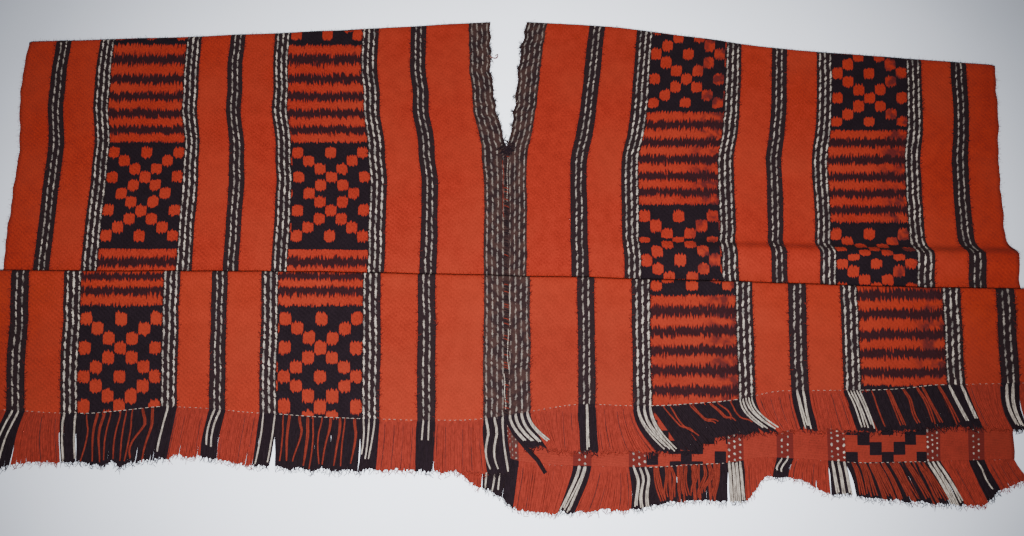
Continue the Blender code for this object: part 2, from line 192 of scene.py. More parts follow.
LEFT = Lay(
    shoulder=(
        Line(0, 0.3396), Line(0.16, 0.3330), Line(0.36, 0.3250), Line(0.74, 0.3133), Line(1, 0.3070),
    ),
    tuck=(Line(0, -0.0427), Line(0.41, -0.0373), Line(0.81, -0.0360), Line(1, -0.0346)),
    front_hem=(
        Line(0, -0.2250), Line(0.10, -0.2313), Line(0.26, -0.2290), Line(0.43, -0.2240),
        Line(0.65, -0.2140), Line(0.80, -0.2227), Line(1, -0.2160),
    ),
    front_tips=(
        Line(0, -0.2940), Line(0.15, -0.2900), Line(0.37, -0.2880), Line(0.47, -0.2830),
        Line(0.59, -0.2720), Line(0.73, -0.2820), Line(0.85, -0.2790), Line(1, -0.2920),
    ),
    back_hem=(
        Line(0, -0.2750), Line(0.08, -0.2600), Line(0.16, -0.2260), Line(0.30, -0.2010), Line(1, -0.1950),
    ),
    back_tips=(
        Line(0, -0.3190), Line(0.06, -0.3060), Line(0.12, -0.2770), Line(0.25, -0.2500), Line(1, -0.2420),
    ),
    upper=(
        Edge(0.3396, 0.0240, 0.6690), Edge(0.2777, 0.0236, 0.6695), Edge(0.2146, 0.0149, 0.6665),
        Edge(0.1354, 0.0000, 0.6550), Edge(0.0480, 0.0000, 0.6520), Edge(-0.0427, 0.0000, 0.6465),
    ),
    lower=(Edge(-0.0427, 0, 0.6725), Edge(-0.1400, 0, 0.6630), Edge(-0.2250, 0, 0.6490)),
    back=(
        Edge(0.3396, 0.0240, 0.6690), Edge(0.2777, 0.0236, 0.6650), Edge(0.2146, 0.0149, 0.6620),
        Edge(0.1354, 0.0000, 0.6510), Edge(0.0480, 0.0000, 0.6470), Edge(-0.2750, 0.0000, 0.6180),
    ),
    front_lean=(
        Lean(0, -0.007), Lean(0.10, 0.000), Lean(0.60, 0.003), Lean(0.80, -0.002),
        Lean(0.87, -0.006), Lean(0.93, 0.012), Lean(1, 0.014),
    ),
    back_lean=(Lean(0, 0.004), Lean(0.10, 0.000), Lean(1, 0.002)),
    ridge=(Line(0, 0), Line(1, 0)),
    charts={"figured_2": LEFT_CHART, "figured_1": LEFT_CHART},
    short_blocks=1,
    pulls=(
        Pull("upper", 0.235, 0.085, (
            Lean(0, 0.0), Lean(0.09, 0.0060), Lean(0.21, 0.0050), Lean(0.50, 0.0045), Lean(0.60, 0.0030),
            Lean(0.77, 0.0015), Lean(1, 0.0),
        )),
        Pull("lower", 0.100, -0.600, (
            Lean(0, 0.0), Lean(0.09, -0.0027), Lean(0.21, -0.0033), Lean(0.36, -0.0028), Lean(0.50, -0.0018),
            Lean(0.60, -0.0045), Lean(0.77, -0.0060), Lean(0.875, -0.0040), Lean(0.93, -0.0008), Lean(1, 0.0),
        )),
    ),
)
RIGHT = Lay(
    shoulder=(
        Line(0, 0.3396), Line(0.16, 0.3330), Line(0.35, 0.3166), Line(0.54, 0.2970),
        Line(0.72, 0.2858), Line(1, 0.2697),
    ),
    tuck=(
        Line(0, -0.0427), Line(0.25, -0.0468), Line(0.50, -0.0522), Line(0.83, -0.0590), Line(1, -0.0605),
    ),
    front_hem=(
        Line(0, -0.2250), Line(0.15, -0.2115), Line(0.27, -0.2130), Line(0.43, -0.2053),
        Line(0.52, -0.1940), Line(0.66, -0.1940), Line(0.82, -0.1866), Line(1, -0.1840),
    ),
    front_tips=(
        Line(0, -0.2600), Line(0.15, -0.2665), Line(0.28, -0.2665), Line(0.36, -0.2480),
        Line(0.55, -0.2400), Line(0.65, -0.2420), Line(0.80, -0.2370), Line(1, -0.2440),
    ),
    back_hem=(
        Line(0, -0.2750), Line(0.10, -0.2844), Line(0.27, -0.2870), Line(0.44, -0.2815),
        Line(0.51, -0.2760), Line(0.70, -0.2815), Line(1, -0.2780),
    ),
    back_tips=(
        Line(0, -0.3200), Line(0.09, -0.3390), Line(0.22, -0.3360), Line(0.37, -0.3240),
        Line(0.46, -0.3255), Line(0.52, -0.2960), Line(0.58, -0.2990), Line(0.62, -0.3150),
        Line(0.78, -0.3270), Line(0.89, -0.3300), Line(0.94, -0.3130), Line(1, -0.2986),
    ),
    upper=(
        Edge(0.3396, 0.0268, 0.6795), Edge(0.2777, 0.0181, 0.6770), Edge(0.1990, 0.0084, 0.6700),
        Edge(0.1354, 0.0000, 0.6600), Edge(0.0610, 0.0000, 0.6525), Edge(0.0104, 0.0000, 0.6486),
        Edge(-0.0160, 0.0000, 0.6580), Edge(-0.0600, 0.0000, 0.6560),
    ),
    lower=(Edge(-0.0427, 0, 0.6880), Edge(-0.1200, 0, 0.6820), Edge(-0.2250, 0, 0.6700)),
    back=(
        Edge(0.3396, 0.0268, 0.6795), Edge(0.2777, 0.0181, 0.6730), Edge(0.1990, 0.0084, 0.6660),
        Edge(0.1354, 0.0000, 0.6560), Edge(0.0610, 0.0000, 0.6490), Edge(-0.1000, 0.0000, 0.6350),
        Edge(-0.2850, 0.0000, 0.6110),
    ),
    front_lean=(
        Lean(0, 0.012), Lean(0.05, 0.012), Lean(0.10, 0.000), Lean(0.20, 0.004), Lean(0.26, 0.020),
        Lean(0.36, 0.018), Lean(0.45, 0.014), Lean(0.51, 0.004), Lean(0.62, 0.006), Lean(0.75, 0.010),
        Lean(0.86, 0.013), Lean(0.92, 0.006), Lean(1, 0.002),
    ),
    back_lean=(
        Lean(0, -0.004), Lean(0.10, -0.008), Lean(0.16, -0.018), Lean(0.25, -0.002), Lean(0.45, 0.000),
        Lean(0.60, -0.006), Lean(0.70, 0.006), Lean(0.80, 0.016), Lean(0.90, 0.020), Lean(1, 0.012),
    ),
    ridge=(Line(0, 0), Line(0.22, 0.15), Line(0.45, 0.70), Line(0.75, 1.0), Line(1, 0.9)),
    charts={"figured_2": RIGHT_CHART_2, "figured_1": RIGHT_CHART_1},
    short_blocks=0,
    pulls=(
        Pull("upper", 0.165, -0.600, (
            Lean(0, 0.0), Lean(0.09, -0.0060), Lean(0.21, -0.0068), Lean(0.36, -0.0055), Lean(0.50, -0.0040),
            Lean(0.60, -0.0040), Lean(0.875, -0.0033), Lean(1, 0.0),
        )),
        Pull("upper", 0.030, -0.600, (
            Lean(0, 0.0), Lean(0.21, -0.0010), Lean(0.36, -0.0040), Lean(0.50, -0.0050), Lean(0.60, -0.0060),
            Lean(0.77, -0.0060), Lean(0.875, -0.0020), Lean(1, 0.0),
        )),
        Pull("lower", 0.100, -0.600, (
            Lean(0, 0.0), Lean(0.09, -0.0027), Lean(0.21, -0.0075), Lean(0.36, -0.0078), Lean(0.50, -0.0085),
            Lean(0.60, -0.0070), Lean(0.77, -0.0065), Lean(0.875, -0.0035), Lean(1, 0.0),
        )),
        Pull("back", -0.150, -0.600, (
            Lean(0, 0.0), Lean(0.0455, -0.0135), Lean(0.138, -0.0040), Lean(0.30, 0.0), Lean(0.50, 0.0),
            Lean(0.78, 0.0100), Lean(0.90, 0.0020), Lean(1, 0.0),
        )),
    ),
)
SIDES = (("left", LEFT, -1), ("right", RIGHT, 1))

# Soft creases on the front, from one end to the other: how high they stand and how wide they spread
Crease = namedtuple("Crease", "x1 y1 x2 y2 height width")
CREASES = (
    Crease(-0.640, -0.082, -0.300, -0.092, 0.0016, 0.020),
    Crease(-0.480, 0.060, -0.330, 0.210, 0.0012, 0.030),
    Crease(-0.200, 0.020, -0.120, 0.250, 0.0010, 0.024),
    Crease(-0.420, -0.200, -0.390, -0.120, 0.0010, 0.022),
    Crease(-0.120, -0.190, -0.090, -0.110, 0.0011, 0.020),
    Crease(0.060, -0.180, 0.110, -0.100, 0.0012, 0.022),
    Crease(0.090, 0.140, 0.180, 0.300, 0.0012, 0.026),
    Crease(0.300, 0.110, 0.620, 0.150, 0.0011, 0.030),
    Crease(0.360, -0.110, 0.660, -0.125, 0.0013, 0.022),
    Crease(0.540, 0.060, 0.600, 0.230, 0.0010, 0.022),
)

# How the pale or rust strands of a band lie on its dark warp ends: how many there are, how thick, how far
# they bulge and sweep outward, how far they close up (up to 1) or fan out (below 0), how much they waver,
# their length against the lock's, and how far their tips curl up again
Tress = namedtuple("Tress", "count thick bulge sweep gather waver length rise")
TRESSES = {
    ("left", "front"): {
        "seam_stripe": Tress(3, 0.0034, 0.001, -0.002, 0.2, 0.0030, 1.00, 0),
        "double_line_2": Tress(2, 0.0016, 0.000, 0.000, -0.2, 0.0008, 0.40, 0),
        "triple_line_4": Tress(3, 0.0030, -0.001, 0.001, 0.6, 0.0015, 0.75, 0),
        "figured_2": Tress(10, 0.0032, 0.000, -0.002, 0.0, 0.0046, 0.96, 0),
        "triple_line_3": Tress(2, 0.0016, 0.000, 0.002, 0.0, 0.0012, 1.00, 0),
        "double_line_1": Tress(2, 0.0036, 0.003, 0.003, 0.4, 0.0010, 0.80, 0),
        "triple_line_2": Tress(1, 0.0036, 0.000, 0.004, 0.0, 0.0016, 0.85, 0),
        "figured_1": Tress(9, 0.0030, 0.000, 0.000, 0.0, 0.0050, 0.98, 0),
        "triple_line_1": Tress(2, 0.0042, 0.001, -0.003, -0.3, 0.0020, 0.95, 0),
        "edge_line": Tress(2, 0.0052, 0.004, 0.003, 0.1, 0.0012, 1.00, 0),
    },
    ("left", "back"): {
        "seam_stripe": Tress(3, 0.0034, 0.000, 0.000, 0.2, 0.0020, 1.00, 0),
    },
    ("right", "front"): {
        "seam_stripe": Tress(4, 0.0042, -0.002, 0.010, -0.5, 0.0014, 0.85, 0),
        "double_line_2": Tress(1, 0.0042, 0.000, 0.000, 0.0, 0.0008, 1.00, 0),
        "triple_line_4": Tress(3, 0.0050, -0.004, 0.010, 0.3, 0.0014, 0.98, 0),
        "figured_2": Tress(7, 0.0024, 0.004, 0.012, 0.1, 0.0066, 0.92, 0.30),
        "triple_line_3": Tress(5, 0.0030, -0.004, 0.014, -0.5, 0.0010, 0.92, 0),
        "double_line_1": Tress(2, 0.0036, 0.000, 0.001, 0.8, 0.0008, 0.95, 0),
        "triple_line_2": Tress(5, 0.0030, 0.002, 0.006, 0.1, 0.0012, 0.92, 0),
        "figured_1": Tress(7, 0.0030, 0.002, 0.005, 0.0, 0.0026, 0.96, 0),
        "triple_line_1": Tress(2, 0.0050, 0.001, 0.001, 0.6, 0.0010, 0.92, 0),
        "edge_line": Tress(2, 0.0036, -0.006, -0.003, 0.2, 0.0010, 0.90, 0),
    },
    ("right", "back"): {
        "double_line_2": Tress(2, 0.0066, -0.001, -0.004, 0.3, 0.0010, 1.00, 0),
        "triple_line_4": Tress(3, 0.0050, 0.003, 0.003, 0.2, 0.0016, 0.98, 0),
        "figured_2": Tress(12, 0.0040, -0.001, 0.000, 0.2, 0.0034, 0.98, 0.12),
        "triple_line_3": Tress(4, 0.0050, 0.000, 0.000, -0.1, 0.0012, 1.02, 0),
        "double_line_1": Tress(2, 0.0028, -0.003, -0.004, 0.3, 0.0024, 0.90, 0.30),
        "triple_line_2": Tress(3, 0.0046, 0.000, 0.005, 0.2, 0.0014, 1.00, 0),
        "figured_1": Tress(13, 0.0044, 0.003, 0.006, 0.0, 0.0024, 1.00, 0.08),
        "triple_line_1": Tress(3, 0.0040, 0.003, 0.004, 0.1, 0.0010, 1.00, 0),
        "edge_line": Tress(1, 0.0020, 0.001, -0.006, 0.0, 0.0010, 0.80, 0),
    },
}

# One dark lock of the front fringe that has strayed over the back hem: (x, y) along it
STRAY_LOCK = ((-0.006, -0.228), (0.003, -0.245), (0.018, -0.263), (0.031, -0.277), (0.040, -0.292))

# Points along one section of a panel, from the back hem to the front hem
BACK_STEPS = 84
TURN_STEPS = 6
SETTLE_STEPS = 4
UPPER_STEPS = 46
RIDGE_STEPS = 14
TUCK_STEPS = 5
SETTLE_AFTER_TUCK_STEPS = 8
LOWER_STEPS = 24
COLUMN = 0.0062


# Lengths and shapes


def smooth(share):
    """An even step from 0 to 1, level at both ends."""
    share = max(0.0, min(1.0, share))
    return share * share * (3 - 2 * share)


def uneven_at(x, y, z):
    """Smooth chance from -1 to 1 that changes over a distance of about 1."""
    return noise.noise(Vector((x, y, z)))


def along(rows, at, column):
    """A column of a table at a place in its first column, on a smooth curve with no overshoot."""
    places = [row[0] for row in rows]
    values = [getattr(row, column) for row in rows]
    if places[0] > places[-1]:
        places = [-place for place in places]
        at = -at
    if at <= places[0]:
        return values[0]
    if at >= places[-1]:
        return values[-1]
    last = len(places) - 1
    rises = [(values[k + 1] - values[k]) / (places[k + 1] - places[k]) for k in range(last)]
    slopes = [rises[0]]
    for before, after in zip(rises, rises[1:]):
        slopes.append(2 * before * after / (before + after) if before * after > 0 else 0.0)
    slopes.append(rises[-1])
    i = max(k for k in range(last) if places[k] <= at)
    span = places[i + 1] - places[i]
    u = (at - places[i]) / span
    return (
        (1 + 2 * u) * (1 - u) ** 2 * values[i]
        + u * (1 - u) ** 2 * span * slopes[i]
        + u * u * (3 - 2 * u) * values[i + 1]
        - u * u * (1 - u) * span * slopes[i + 1]
    )


def chart_row(rows, y):
    """The row of the figure's chart at a place along the cloth, carried on past both ends."""
    i = 0
    while i < len(rows) - 2 and y < rows[i + 1].y:
        i += 1
    first, second = rows[i], rows[i + 1]
    return first.row + (second.row - first.row) * (y - first.y) / (second.y - first.y)


def turn(centre_y, centre_z, radius, towards):
    """Half a circle of (y, z) points from below to above, bulging to +Y or -Y, its ends left out."""
    angles = [math.pi * k / (TURN_STEPS + 1) for k in range(1, TURN_STEPS + 1)]
    return [(centre_y + towards * radius * math.sin(a), centre_z - radius * math.cos(a)) for a in angles]


def run(start, end, steps):
    """Evenly spaced places from start to end, the start left out."""
    return [start + (end - start) * k / steps for k in range(1, steps + 1)]


def ridge_height(lay, across, y):
    """Height of the soft ridge over the front's own level."""
    crest = along(lay.tuck, across, "y") + RIDGE_TO_TUCK
    width = RIDGE_STEEP if y > crest else RIDGE_GENTLE
    return RIDGE_HEIGHT * along(lay.ridge, across, "y") * (1 - smooth(abs(y - crest) / width))


def front_sink(across):
    """How far the front sinks near its outer edge, where it hangs out past the back."""
    return OVERHANG_DROP * max(0.0, (across - OVERHANG_START) / (1 - OVERHANG_START))


def section(lay, across):
    """One section of a panel along the warp: rows of (part, y, z) from the back hem to the front."""
    shoulder = along(lay.shoulder, across, "y")
    tuck = along(lay.tuck, across, "y")
    back_hem = along(lay.back_hem, across, "y")
    front_hem = along(lay.front_hem, across, "y")
    fold_y = shoulder - CLOTH / 2 - SHOULDER_RADIUS
    foot_y = tuck - TUCK_DEPTH
    crest_y = tuck - CLOTH / 2 - TUCK_CREST_RADIUS
    ridge_top = tuck + RIDGE_TO_TUCK + RIDGE_STEEP
    ridge_end = tuck + RIDGE_TO_TUCK - RIDGE_GENTLE

    rows = [("back", back_hem, BACK_LEVEL)]
    rows += [("back", y, BACK_LEVEL) for y in run(back_hem, fold_y, BACK_STEPS)]
    rows += [("back", y, z) for y, z in turn(fold_y, BACK_LEVEL + SHOULDER_RADIUS, SHOULDER_RADIUS, 1)]
    top = BACK_LEVEL + 2 * SHOULDER_RADIUS
    rows.append(("upper", fold_y, top))
    for y in run(fold_y, fold_y - SHOULDER_SETTLE, SETTLE_STEPS):
        rows.append(("upper", y, top - (top - FRONT_LEVEL) * smooth((fold_y - y) / SHOULDER_SETTLE)))
    rows += [("upper", y, FRONT_LEVEL) for y in run(fold_y - SHOULDER_SETTLE, ridge_top, UPPER_STEPS)]
    for y in run(ridge_top, ridge_end, RIDGE_STEPS):
        rows.append(("upper", y, FRONT_LEVEL + ridge_height(lay, across, y)))
    rows += [("upper", y, FRONT_LEVEL) for y in run(ridge_end, foot_y, TUCK_STEPS)]
    rows += [("fold", y, z) for y, z in turn(foot_y, FRONT_LEVEL + TUCK_FOOT_RADIUS, TUCK_FOOT_RADIUS, -1)]
    rows.append(("fold", foot_y, TUCK_MIDDLE_LEVEL))
    rows += [("fold", y, TUCK_MIDDLE_LEVEL) for y in run(foot_y, crest_y, TUCK_STEPS)]
    rows += [
        ("lower", y, z)
        for y, z in turn(crest_y, TUCK_MIDDLE_LEVEL + TUCK_CREST_RADIUS, TUCK_CREST_RADIUS, 1)
    ]
    rows.append(("lower", crest_y, TUCK_TOP_LEVEL))
    on_tuck = TUCK_MIDDLE_LEVEL + LAYER
    for y in run(crest_y, foot_y, TUCK_STEPS):
        share = smooth((crest_y - y) / (crest_y - foot_y))
        rows.append(("lower", y, TUCK_TOP_LEVEL - (TUCK_TOP_LEVEL - on_tuck) * share))
    edge = foot_y - TUCK_FOOT_RADIUS - CLOTH
    at_edge = on_tuck - (LAYER - CLOTH) / 2
    rows.append(("lower", edge, at_edge))
    for y in run(edge, edge - TUCK_SETTLE, SETTLE_AFTER_TUCK_STEPS):
        rows.append(("lower", y, at_edge - (at_edge - FRONT_LEVEL) * smooth((edge - y) / TUCK_SETTLE)))
    rows += [("lower", y, FRONT_LEVEL) for y in run(edge - TUCK_SETTLE, front_hem, LOWER_STEPS)]
    return rows


def edges_at(lay, part, y, tuck):
    """How far out a panel's inner and outer long edges lie at one row of its section."""
    if part in ("back", "upper", "lower"):
        table = getattr(lay, part)
        return along(table, y, "inner"), along(table, y, "outer")
    above = along(lay.upper, tuck - TUCK_DEPTH, "outer")
    below = along(lay.lower, tuck, "outer")
    return 0.0, above + (below - above) * smooth((y - (tuck - TUCK_DEPTH)) / TUCK_DEPTH)


def pulled(lay, part, across, y):
    """How far the weave is drawn outward at one place inside the panel's edges."""
    return sum(
        along(pull.rows, across, "outward")
        * smooth((pull.top - y) / PULL_EASE) * smooth((y - pull.foot) / PULL_EASE)
        for pull in lay.pulls if pull.part == part
    )


def place(lay, side, part, across, y, z):
    """A point of the cloth: side is -1 for the left panel and 1 for the right one."""
    tuck = along(lay.tuck, across, "y")
    inner, outer = edges_at(lay, part, y, tuck)
    if part == "lower":
        z -= front_sink(across)
    if part == "fold":
        share = smooth((y - (tuck - TUCK_DEPTH)) / TUCK_DEPTH)
        out = (1 - share) * pulled(lay, "upper", across, y) + share * pulled(lay, "lower", across, y)
    else:
        out = pulled(lay, part, across, y)
    return SEAM_X + side * (PIECE_GAP / 2 + inner + (outer - inner) * across + out), y, z


def crease_height(x, y):
    """Height that the soft creases and the cloth's own unevenness add to the front."""
    height = 0.0005 * (1 + uneven_at(x * 14, y * 14, 3.1))
    for crease in CREASES:
        span = Vector((crease.x2 - crease.x1, crease.y2 - crease.y1))
        offset = Vector((x - crease.x1, y - crease.y1))
        share = max(0.0, min(1.0, offset.dot(span) / span.length_squared))
        reach = (offset - span * share).length / crease.width
        height += crease.height * (1 - smooth(reach)) * smooth(4 * min(share, 1 - share) + 0.2)
    return height


def settle(lay, part, across, x, y, z):
    """A point of the cloth with its small unevenness: wavering edges, and creases where it can rise."""
    wander = 0.0011 * uneven_at(x * 22, y * 22, 0.3)
    drift = 0.0009 * uneven_at(x * 22, y * 22, 7.7)
    if part in ("upper", "back"):
        slit = smooth(1 - across / 0.08) * smooth((y - 0.142) / 0.012)
        opened = 0.0026 * smooth((0.250 - y) / 0.06)
        ragged = uneven_at(x * 3, y * 75, 5.0) + 0.5 * uneven_at(x * 3, y * 210, 8.0)
        wander += slit * (math.copysign(opened, x - SEAM_X) + 0.0030 * ragged)
    if y < 0.145 and across < 0.02:
        wander = wander * across / 0.02 - math.copysign(PIECE_GAP * 0.49, x - SEAM_X) * (1 - across / 0.02)
    selvedge = smooth((across - 0.96) / 0.04)
    wander += selvedge * 0.0018 * uneven_at(3.0, y * 55, 9.0)
    tuck = along(lay.tuck, across, "y")
    free = 0.0
    if part == "upper":
        free = smooth((y - tuck - 0.004) / 0.02) * smooth((along(lay.shoulder, across, "y") - y) / 0.03)
    elif part == "lower":
        free = smooth((tuck - TUCK_DEPTH - 0.006 - y) / 0.02) * (1 - smooth((across - 0.93) / 0.05))
    return x + wander, y + drift, z + free * crease_height(x, y)


def on_hem(lay, side, part, hem, across, level):
    """A point of a hem."""
    return place(lay, side, part, across, along(hem, across, "y"), level)


# Materials


def linear(hex_colour):
    """An sRGB hex colour as linear RGBA."""
    channels = [int(hex_colour[i:i + 2], 16) / 255 for i in (1, 3, 5)]
    return [c / 12.92 if c <= 0.04045 else ((c + 0.055) / 1.055) ** 2.4 for c in channels] + [1.0]


# The property that holds each kind of node's own main choice
CHOICES = {
    "Math": "operation", "VectorMath": "operation", "Mix": "data_type",
    "TexNoise": "noise_dimensions", "TexWhiteNoise": "noise_dimensions",
}


def add_node(tree, kind, *feeds, outlet=0, **settings):
    """Adds a node, feeds its open inputs in order from sockets or values, and gives an open outlet. A second
    word of its kind is its main choice, such as the operation of Math."""
    kind, _, choice = kind.partition(" ")
    node = tree.nodes.new("ShaderNode" + kind)
    if choice:
        settings[CHOICES[kind]] = choice
    for name, value in settings.items():
        setattr(node, name, value)
    for socket, feed in zip([socket for socket in node.inputs if socket.enabled], feeds):
        if isinstance(feed, bpy.types.NodeSocket):
            tree.links.new(feed, socket)
        else:
            socket.default_value = feed
    return [socket for socket in node.outputs if socket.enabled][outlet]


def new_material(name):
    """A new material, and the function that adds nodes to it."""
    material = bpy.data.materials.new(name)
    material.use_nodes = True
    return material, partial(add_node, material.node_tree)


def finish_shader(material, links, values):
    """Sets the shader's inputs by name, from sockets and from values."""
    shader = material.node_tree.nodes["Principled BSDF"]
    for name, socket in links.items():
        material.node_tree.links.new(socket, shader.inputs[name])
    for name, value in values.items():
        shader.inputs[name].default_value = value


def wool_shader(material, colour, height, depth):
    """Fulled wool: no gloss at all, and a soft bloom at grazing angles from its nap."""
    bump = add_node(material.node_tree, "Bump", 0.9, depth, 1.0, height)
    finish_shader(material, {"Base Color": colour, "Normal": bump}, {
        "Roughness": 0.96, "IOR": 1.54, "Specular IOR Level": 0.05,
        "Sheen Weight": 0.02, "Sheen Roughness": 0.5, "Sheen Tint": (1.0, 0.55, 0.45, 1.0),
    })


def charted_dots(put, block_row, column, reverse):
    """How far each place lies in a dot of the charted figure: crossed diagonals of dots, with an eye in each
    lozenge between them. The dots of the reverse are squarer."""
    column_number = put("Math ROUND", column)
    column_off = put("Math ABSOLUTE", put("Math SUBTRACT", column, column_number))
    below = put("Math FLOOR", block_row)
    square = 9.0 if reverse else 2.6
    found = []
    for step in (0.0, 1.0):
        number = put("Math ADD", below, step)
        row_off = put("Math ABSOLUTE", put("Math SUBTRACT", block_row, number))
        falling = put("Math FLOORED_MODULO", put("Math SUBTRACT", number, column_number), CROSS_REPEAT)
        rising = put("Math FLOORED_MODULO", put("Math ADD", number, column_number), CROSS_REPEAT)
        third = put("Math FLOORED_MODULO", number, CROSS_REPEAT / 2)
        on_cross = put(
            "Math MAXIMUM", put("Math COMPARE", falling, 0.0, 0.1), put("Math COMPARE", rising, 2.0, 0.1)
        )
        in_eye = put(
            "Math MULTIPLY", put("Math COMPARE", third, 1.0, 0.1), put("Math COMPARE", rising, 5.0, 0.1)
        )
        charted = put("Math MAXIMUM", on_cross, in_eye)
        in_block = put("Math COMPARE", number, 7.0, 6.1)
        charted = put("Math MULTIPLY", charted, in_block)
        wide = put("Math POWER", put("Math MULTIPLY", column_off, 1 / DOT_HALF_WIDTH), square)
        tall = put("Math POWER", put("Math MULTIPLY", row_off, 1 / DOT_HALF_HEIGHT), square)
        shape = put("Math MULTIPLY_ADD", put("Math ADD", wide, tall), -3.0, 3.5, use_clamp=True)
        found.append(put("Math MULTIPLY", shape, charted))
    return put("Math MAXIMUM", *found)


def woven_wool(name, cloth, reverse):
    """Handwoven wool twill, fulled until it has a short nap. Its face shows the charted figures in dots with
    combed edges, and its reverse shows the weft, with the same figures the other way about."""
    material, put = new_material(name)
    cloth_uv = put("UVMap", uv_map="Cloth")
    u_v = put("SeparateXYZ", cloth_uv)
    u, v = u_v, u_v.node.outputs[1]
    band = put("SeparateXYZ", put("UVMap", uv_map="Band"))
    reach, kind = band, band.node.outputs[1]
    chart = put("SeparateXYZ", put("UVMap", uv_map="Chart"))
    row, short = chart, chart.node.outputs[1]

    # Unevenness: yarn by yarn across the warp, about 2 mm each, in hanks along it, and the nap over all
    yarn, other_yarn, nap = [
        put("TexNoise 2D", put("VectorMath MULTIPLY", cloth_uv, per_metre), 1.0, detail)
        for per_metre, detail in (
            ((520.0, 60.0, 0.0), 1.0), ((470.0, -75.0, 0.0), 1.0), ((620.0, 420.0, 0.0), 3.0),
        )
    ]
    wash = put("TexNoise 2D", cloth_uv, 9.0, 3.0)
    blotch = put("TexNoise 2D", cloth_uv, 70.0, 2.0)

    # White lines: dashes in columns LINE_PITCH apart, each other column shifted by half a dash
    waver = put("TexNoise 2D", put("VectorMath MULTIPLY", cloth_uv, (6.0, 60.0, 0.0)), 1.0, 1.0)
    shift = put("Math MULTIPLY", put("Math SUBTRACT", waver, 0.5), 0.0016)
    line_at = put("Math DIVIDE", put("Math ADD", reach, shift), LINE_PITCH)
    last = put("Math SUBTRACT", kind, 1.0)
    index = put("Math MINIMUM", put("Math MAXIMUM", put("Math ROUND", line_at), 0.0), last)
    off_line = put("Math ABSOLUTE", put("Math SUBTRACT", line_at, index))
    beat = put("Math DIVIDE", v, DASH_PITCH * (0.6 if reverse else 1.0))
    stagger = put("Math MULTIPLY", index, 0.5)
    slant = put("Math MULTIPLY", put("Math SUBTRACT", line_at, index), 0.0 if reverse else 0.7)
    beat = put("Math ADD", put("Math ADD", beat, slant), put("Math MULTIPLY_ADD", waver, 1.2, stagger))
    dash = put("CombineXYZ", put("Math ADD", index, put("Math MULTIPLY", u, 23.0)), put("Math FLOOR", beat))
    dash = put("VectorMath FLOOR", dash)
    luck = put("TexWhiteNoise 2D", dash)
    beat = put("Math ABSOLUTE", put("Math SUBTRACT", put("Math FRACT", beat), 0.5))
    doubled = put("Math COMPARE", kind, 2.0, 0.1)
    at_seam = put("Math COMPARE", kind, 4.0, 0.1)
    lens = put("Math POWER", put("Math MULTIPLY", beat, 2.0), 2.4)
    half_width = put(
        "Math MULTIPLY_ADD", lens, -1.5 if reverse else -0.24, put("Math MULTIPLY_ADD", luck, 0.05, 0.15)
    )
    half_width = put("Math MULTIPLY_ADD", put("Math MAXIMUM", doubled, at_seam), -0.03, half_width)
    frayed = put("Math MULTIPLY_ADD", put("Math SUBTRACT", nap, 0.5), 0.4, half_width)
    line = put("Math MULTIPLY_ADD", put("Math SUBTRACT", frayed, off_line), 8.0, 0.5, use_clamp=True)

    # Figure: rows and columns of dots, then stripes, then the next block
    comb = put("Math MULTIPLY", put("Math SUBTRACT", yarn, 0.5), 0.0 if reverse else 0.65)
    combed = put("Math ADD", row, comb)
    into = put("Math FLOORED_MODULO", put("Math ADD", combed, BLOCK_START), CHART_REPEAT)
    into = put("Math SUBTRACT", into, BLOCK_START)
    mirrored = put("Math MINIMUM", into, put("Math SUBTRACT", LAST_DOT_ROW, into))
    block_row = put("Mix", short, into, mirrored)
    column = put("Math MULTIPLY_ADD", reach, 1 / FIGURE_PITCH, 0.5)
    dots = charted_dots(put, block_row, column, reverse)
    past_block = put("Math SUBTRACT", into, BLOCK_ROWS)
    in_stripes = put("Math MULTIPLY_ADD", past_block, 8.0, 0.5, use_clamp=True)
    phase = put("Math FLOORED_MODULO", put("Math SUBTRACT", past_block, 0.5), 2.0)
    from_stripe = put("Math ABSOLUTE", put("Math SUBTRACT", phase, 1.0))
    teeth = put("Math MULTIPLY_ADD", put("Math SUBTRACT", other_yarn, 0.5), 1.15, from_stripe)
    ground = put("Math MULTIPLY_ADD", from_stripe if reverse else teeth, 4.5, -1.75, use_clamp=True)
    figure = put("Mix", in_stripes, dots, ground)

    # Twill: fine ribs that fall from upper left to lower right
    across_ribs = put("Math MULTIPLY", put("Math SUBTRACT", u, v), math.tau / (TWILL_PITCH * math.sqrt(2)))
    ribs = put("Math MULTIPLY_ADD", put("Math SINE", across_ribs), 0.5, 0.5)
    along_picks = put("Math MULTIPLY", v, math.tau / PICK_PITCH)
    picks = put("Math MULTIPLY_ADD", put("Math SINE", along_picks), 0.5, 0.5)
    texture = picks if reverse else ribs

    # Colours
    # Painted shade and highlight: the tone follows the nap and the twill, which also raise the bump, so the
    # wool is darker in their hollows and paler on their tops; the blotches are the wool's own uneven tone
    shade = put(
        "Math ADD", put("Math MULTIPLY", nap, 0.55),
        put("Math ADD", put("Math MULTIPLY", blotch, 0.25), put("Math MULTIPLY", texture, 0.12)),
    )
    tone = put("MapRange", shade, 0.28, 0.68, 0.0, 1.0)
    # Painted light: the lower tier takes its own copy of the red colours, set for how the lamp lights it
    # against the upper tier
    low = put("MapRange", v, 0.36, 0.42, 0.0, 1.0)
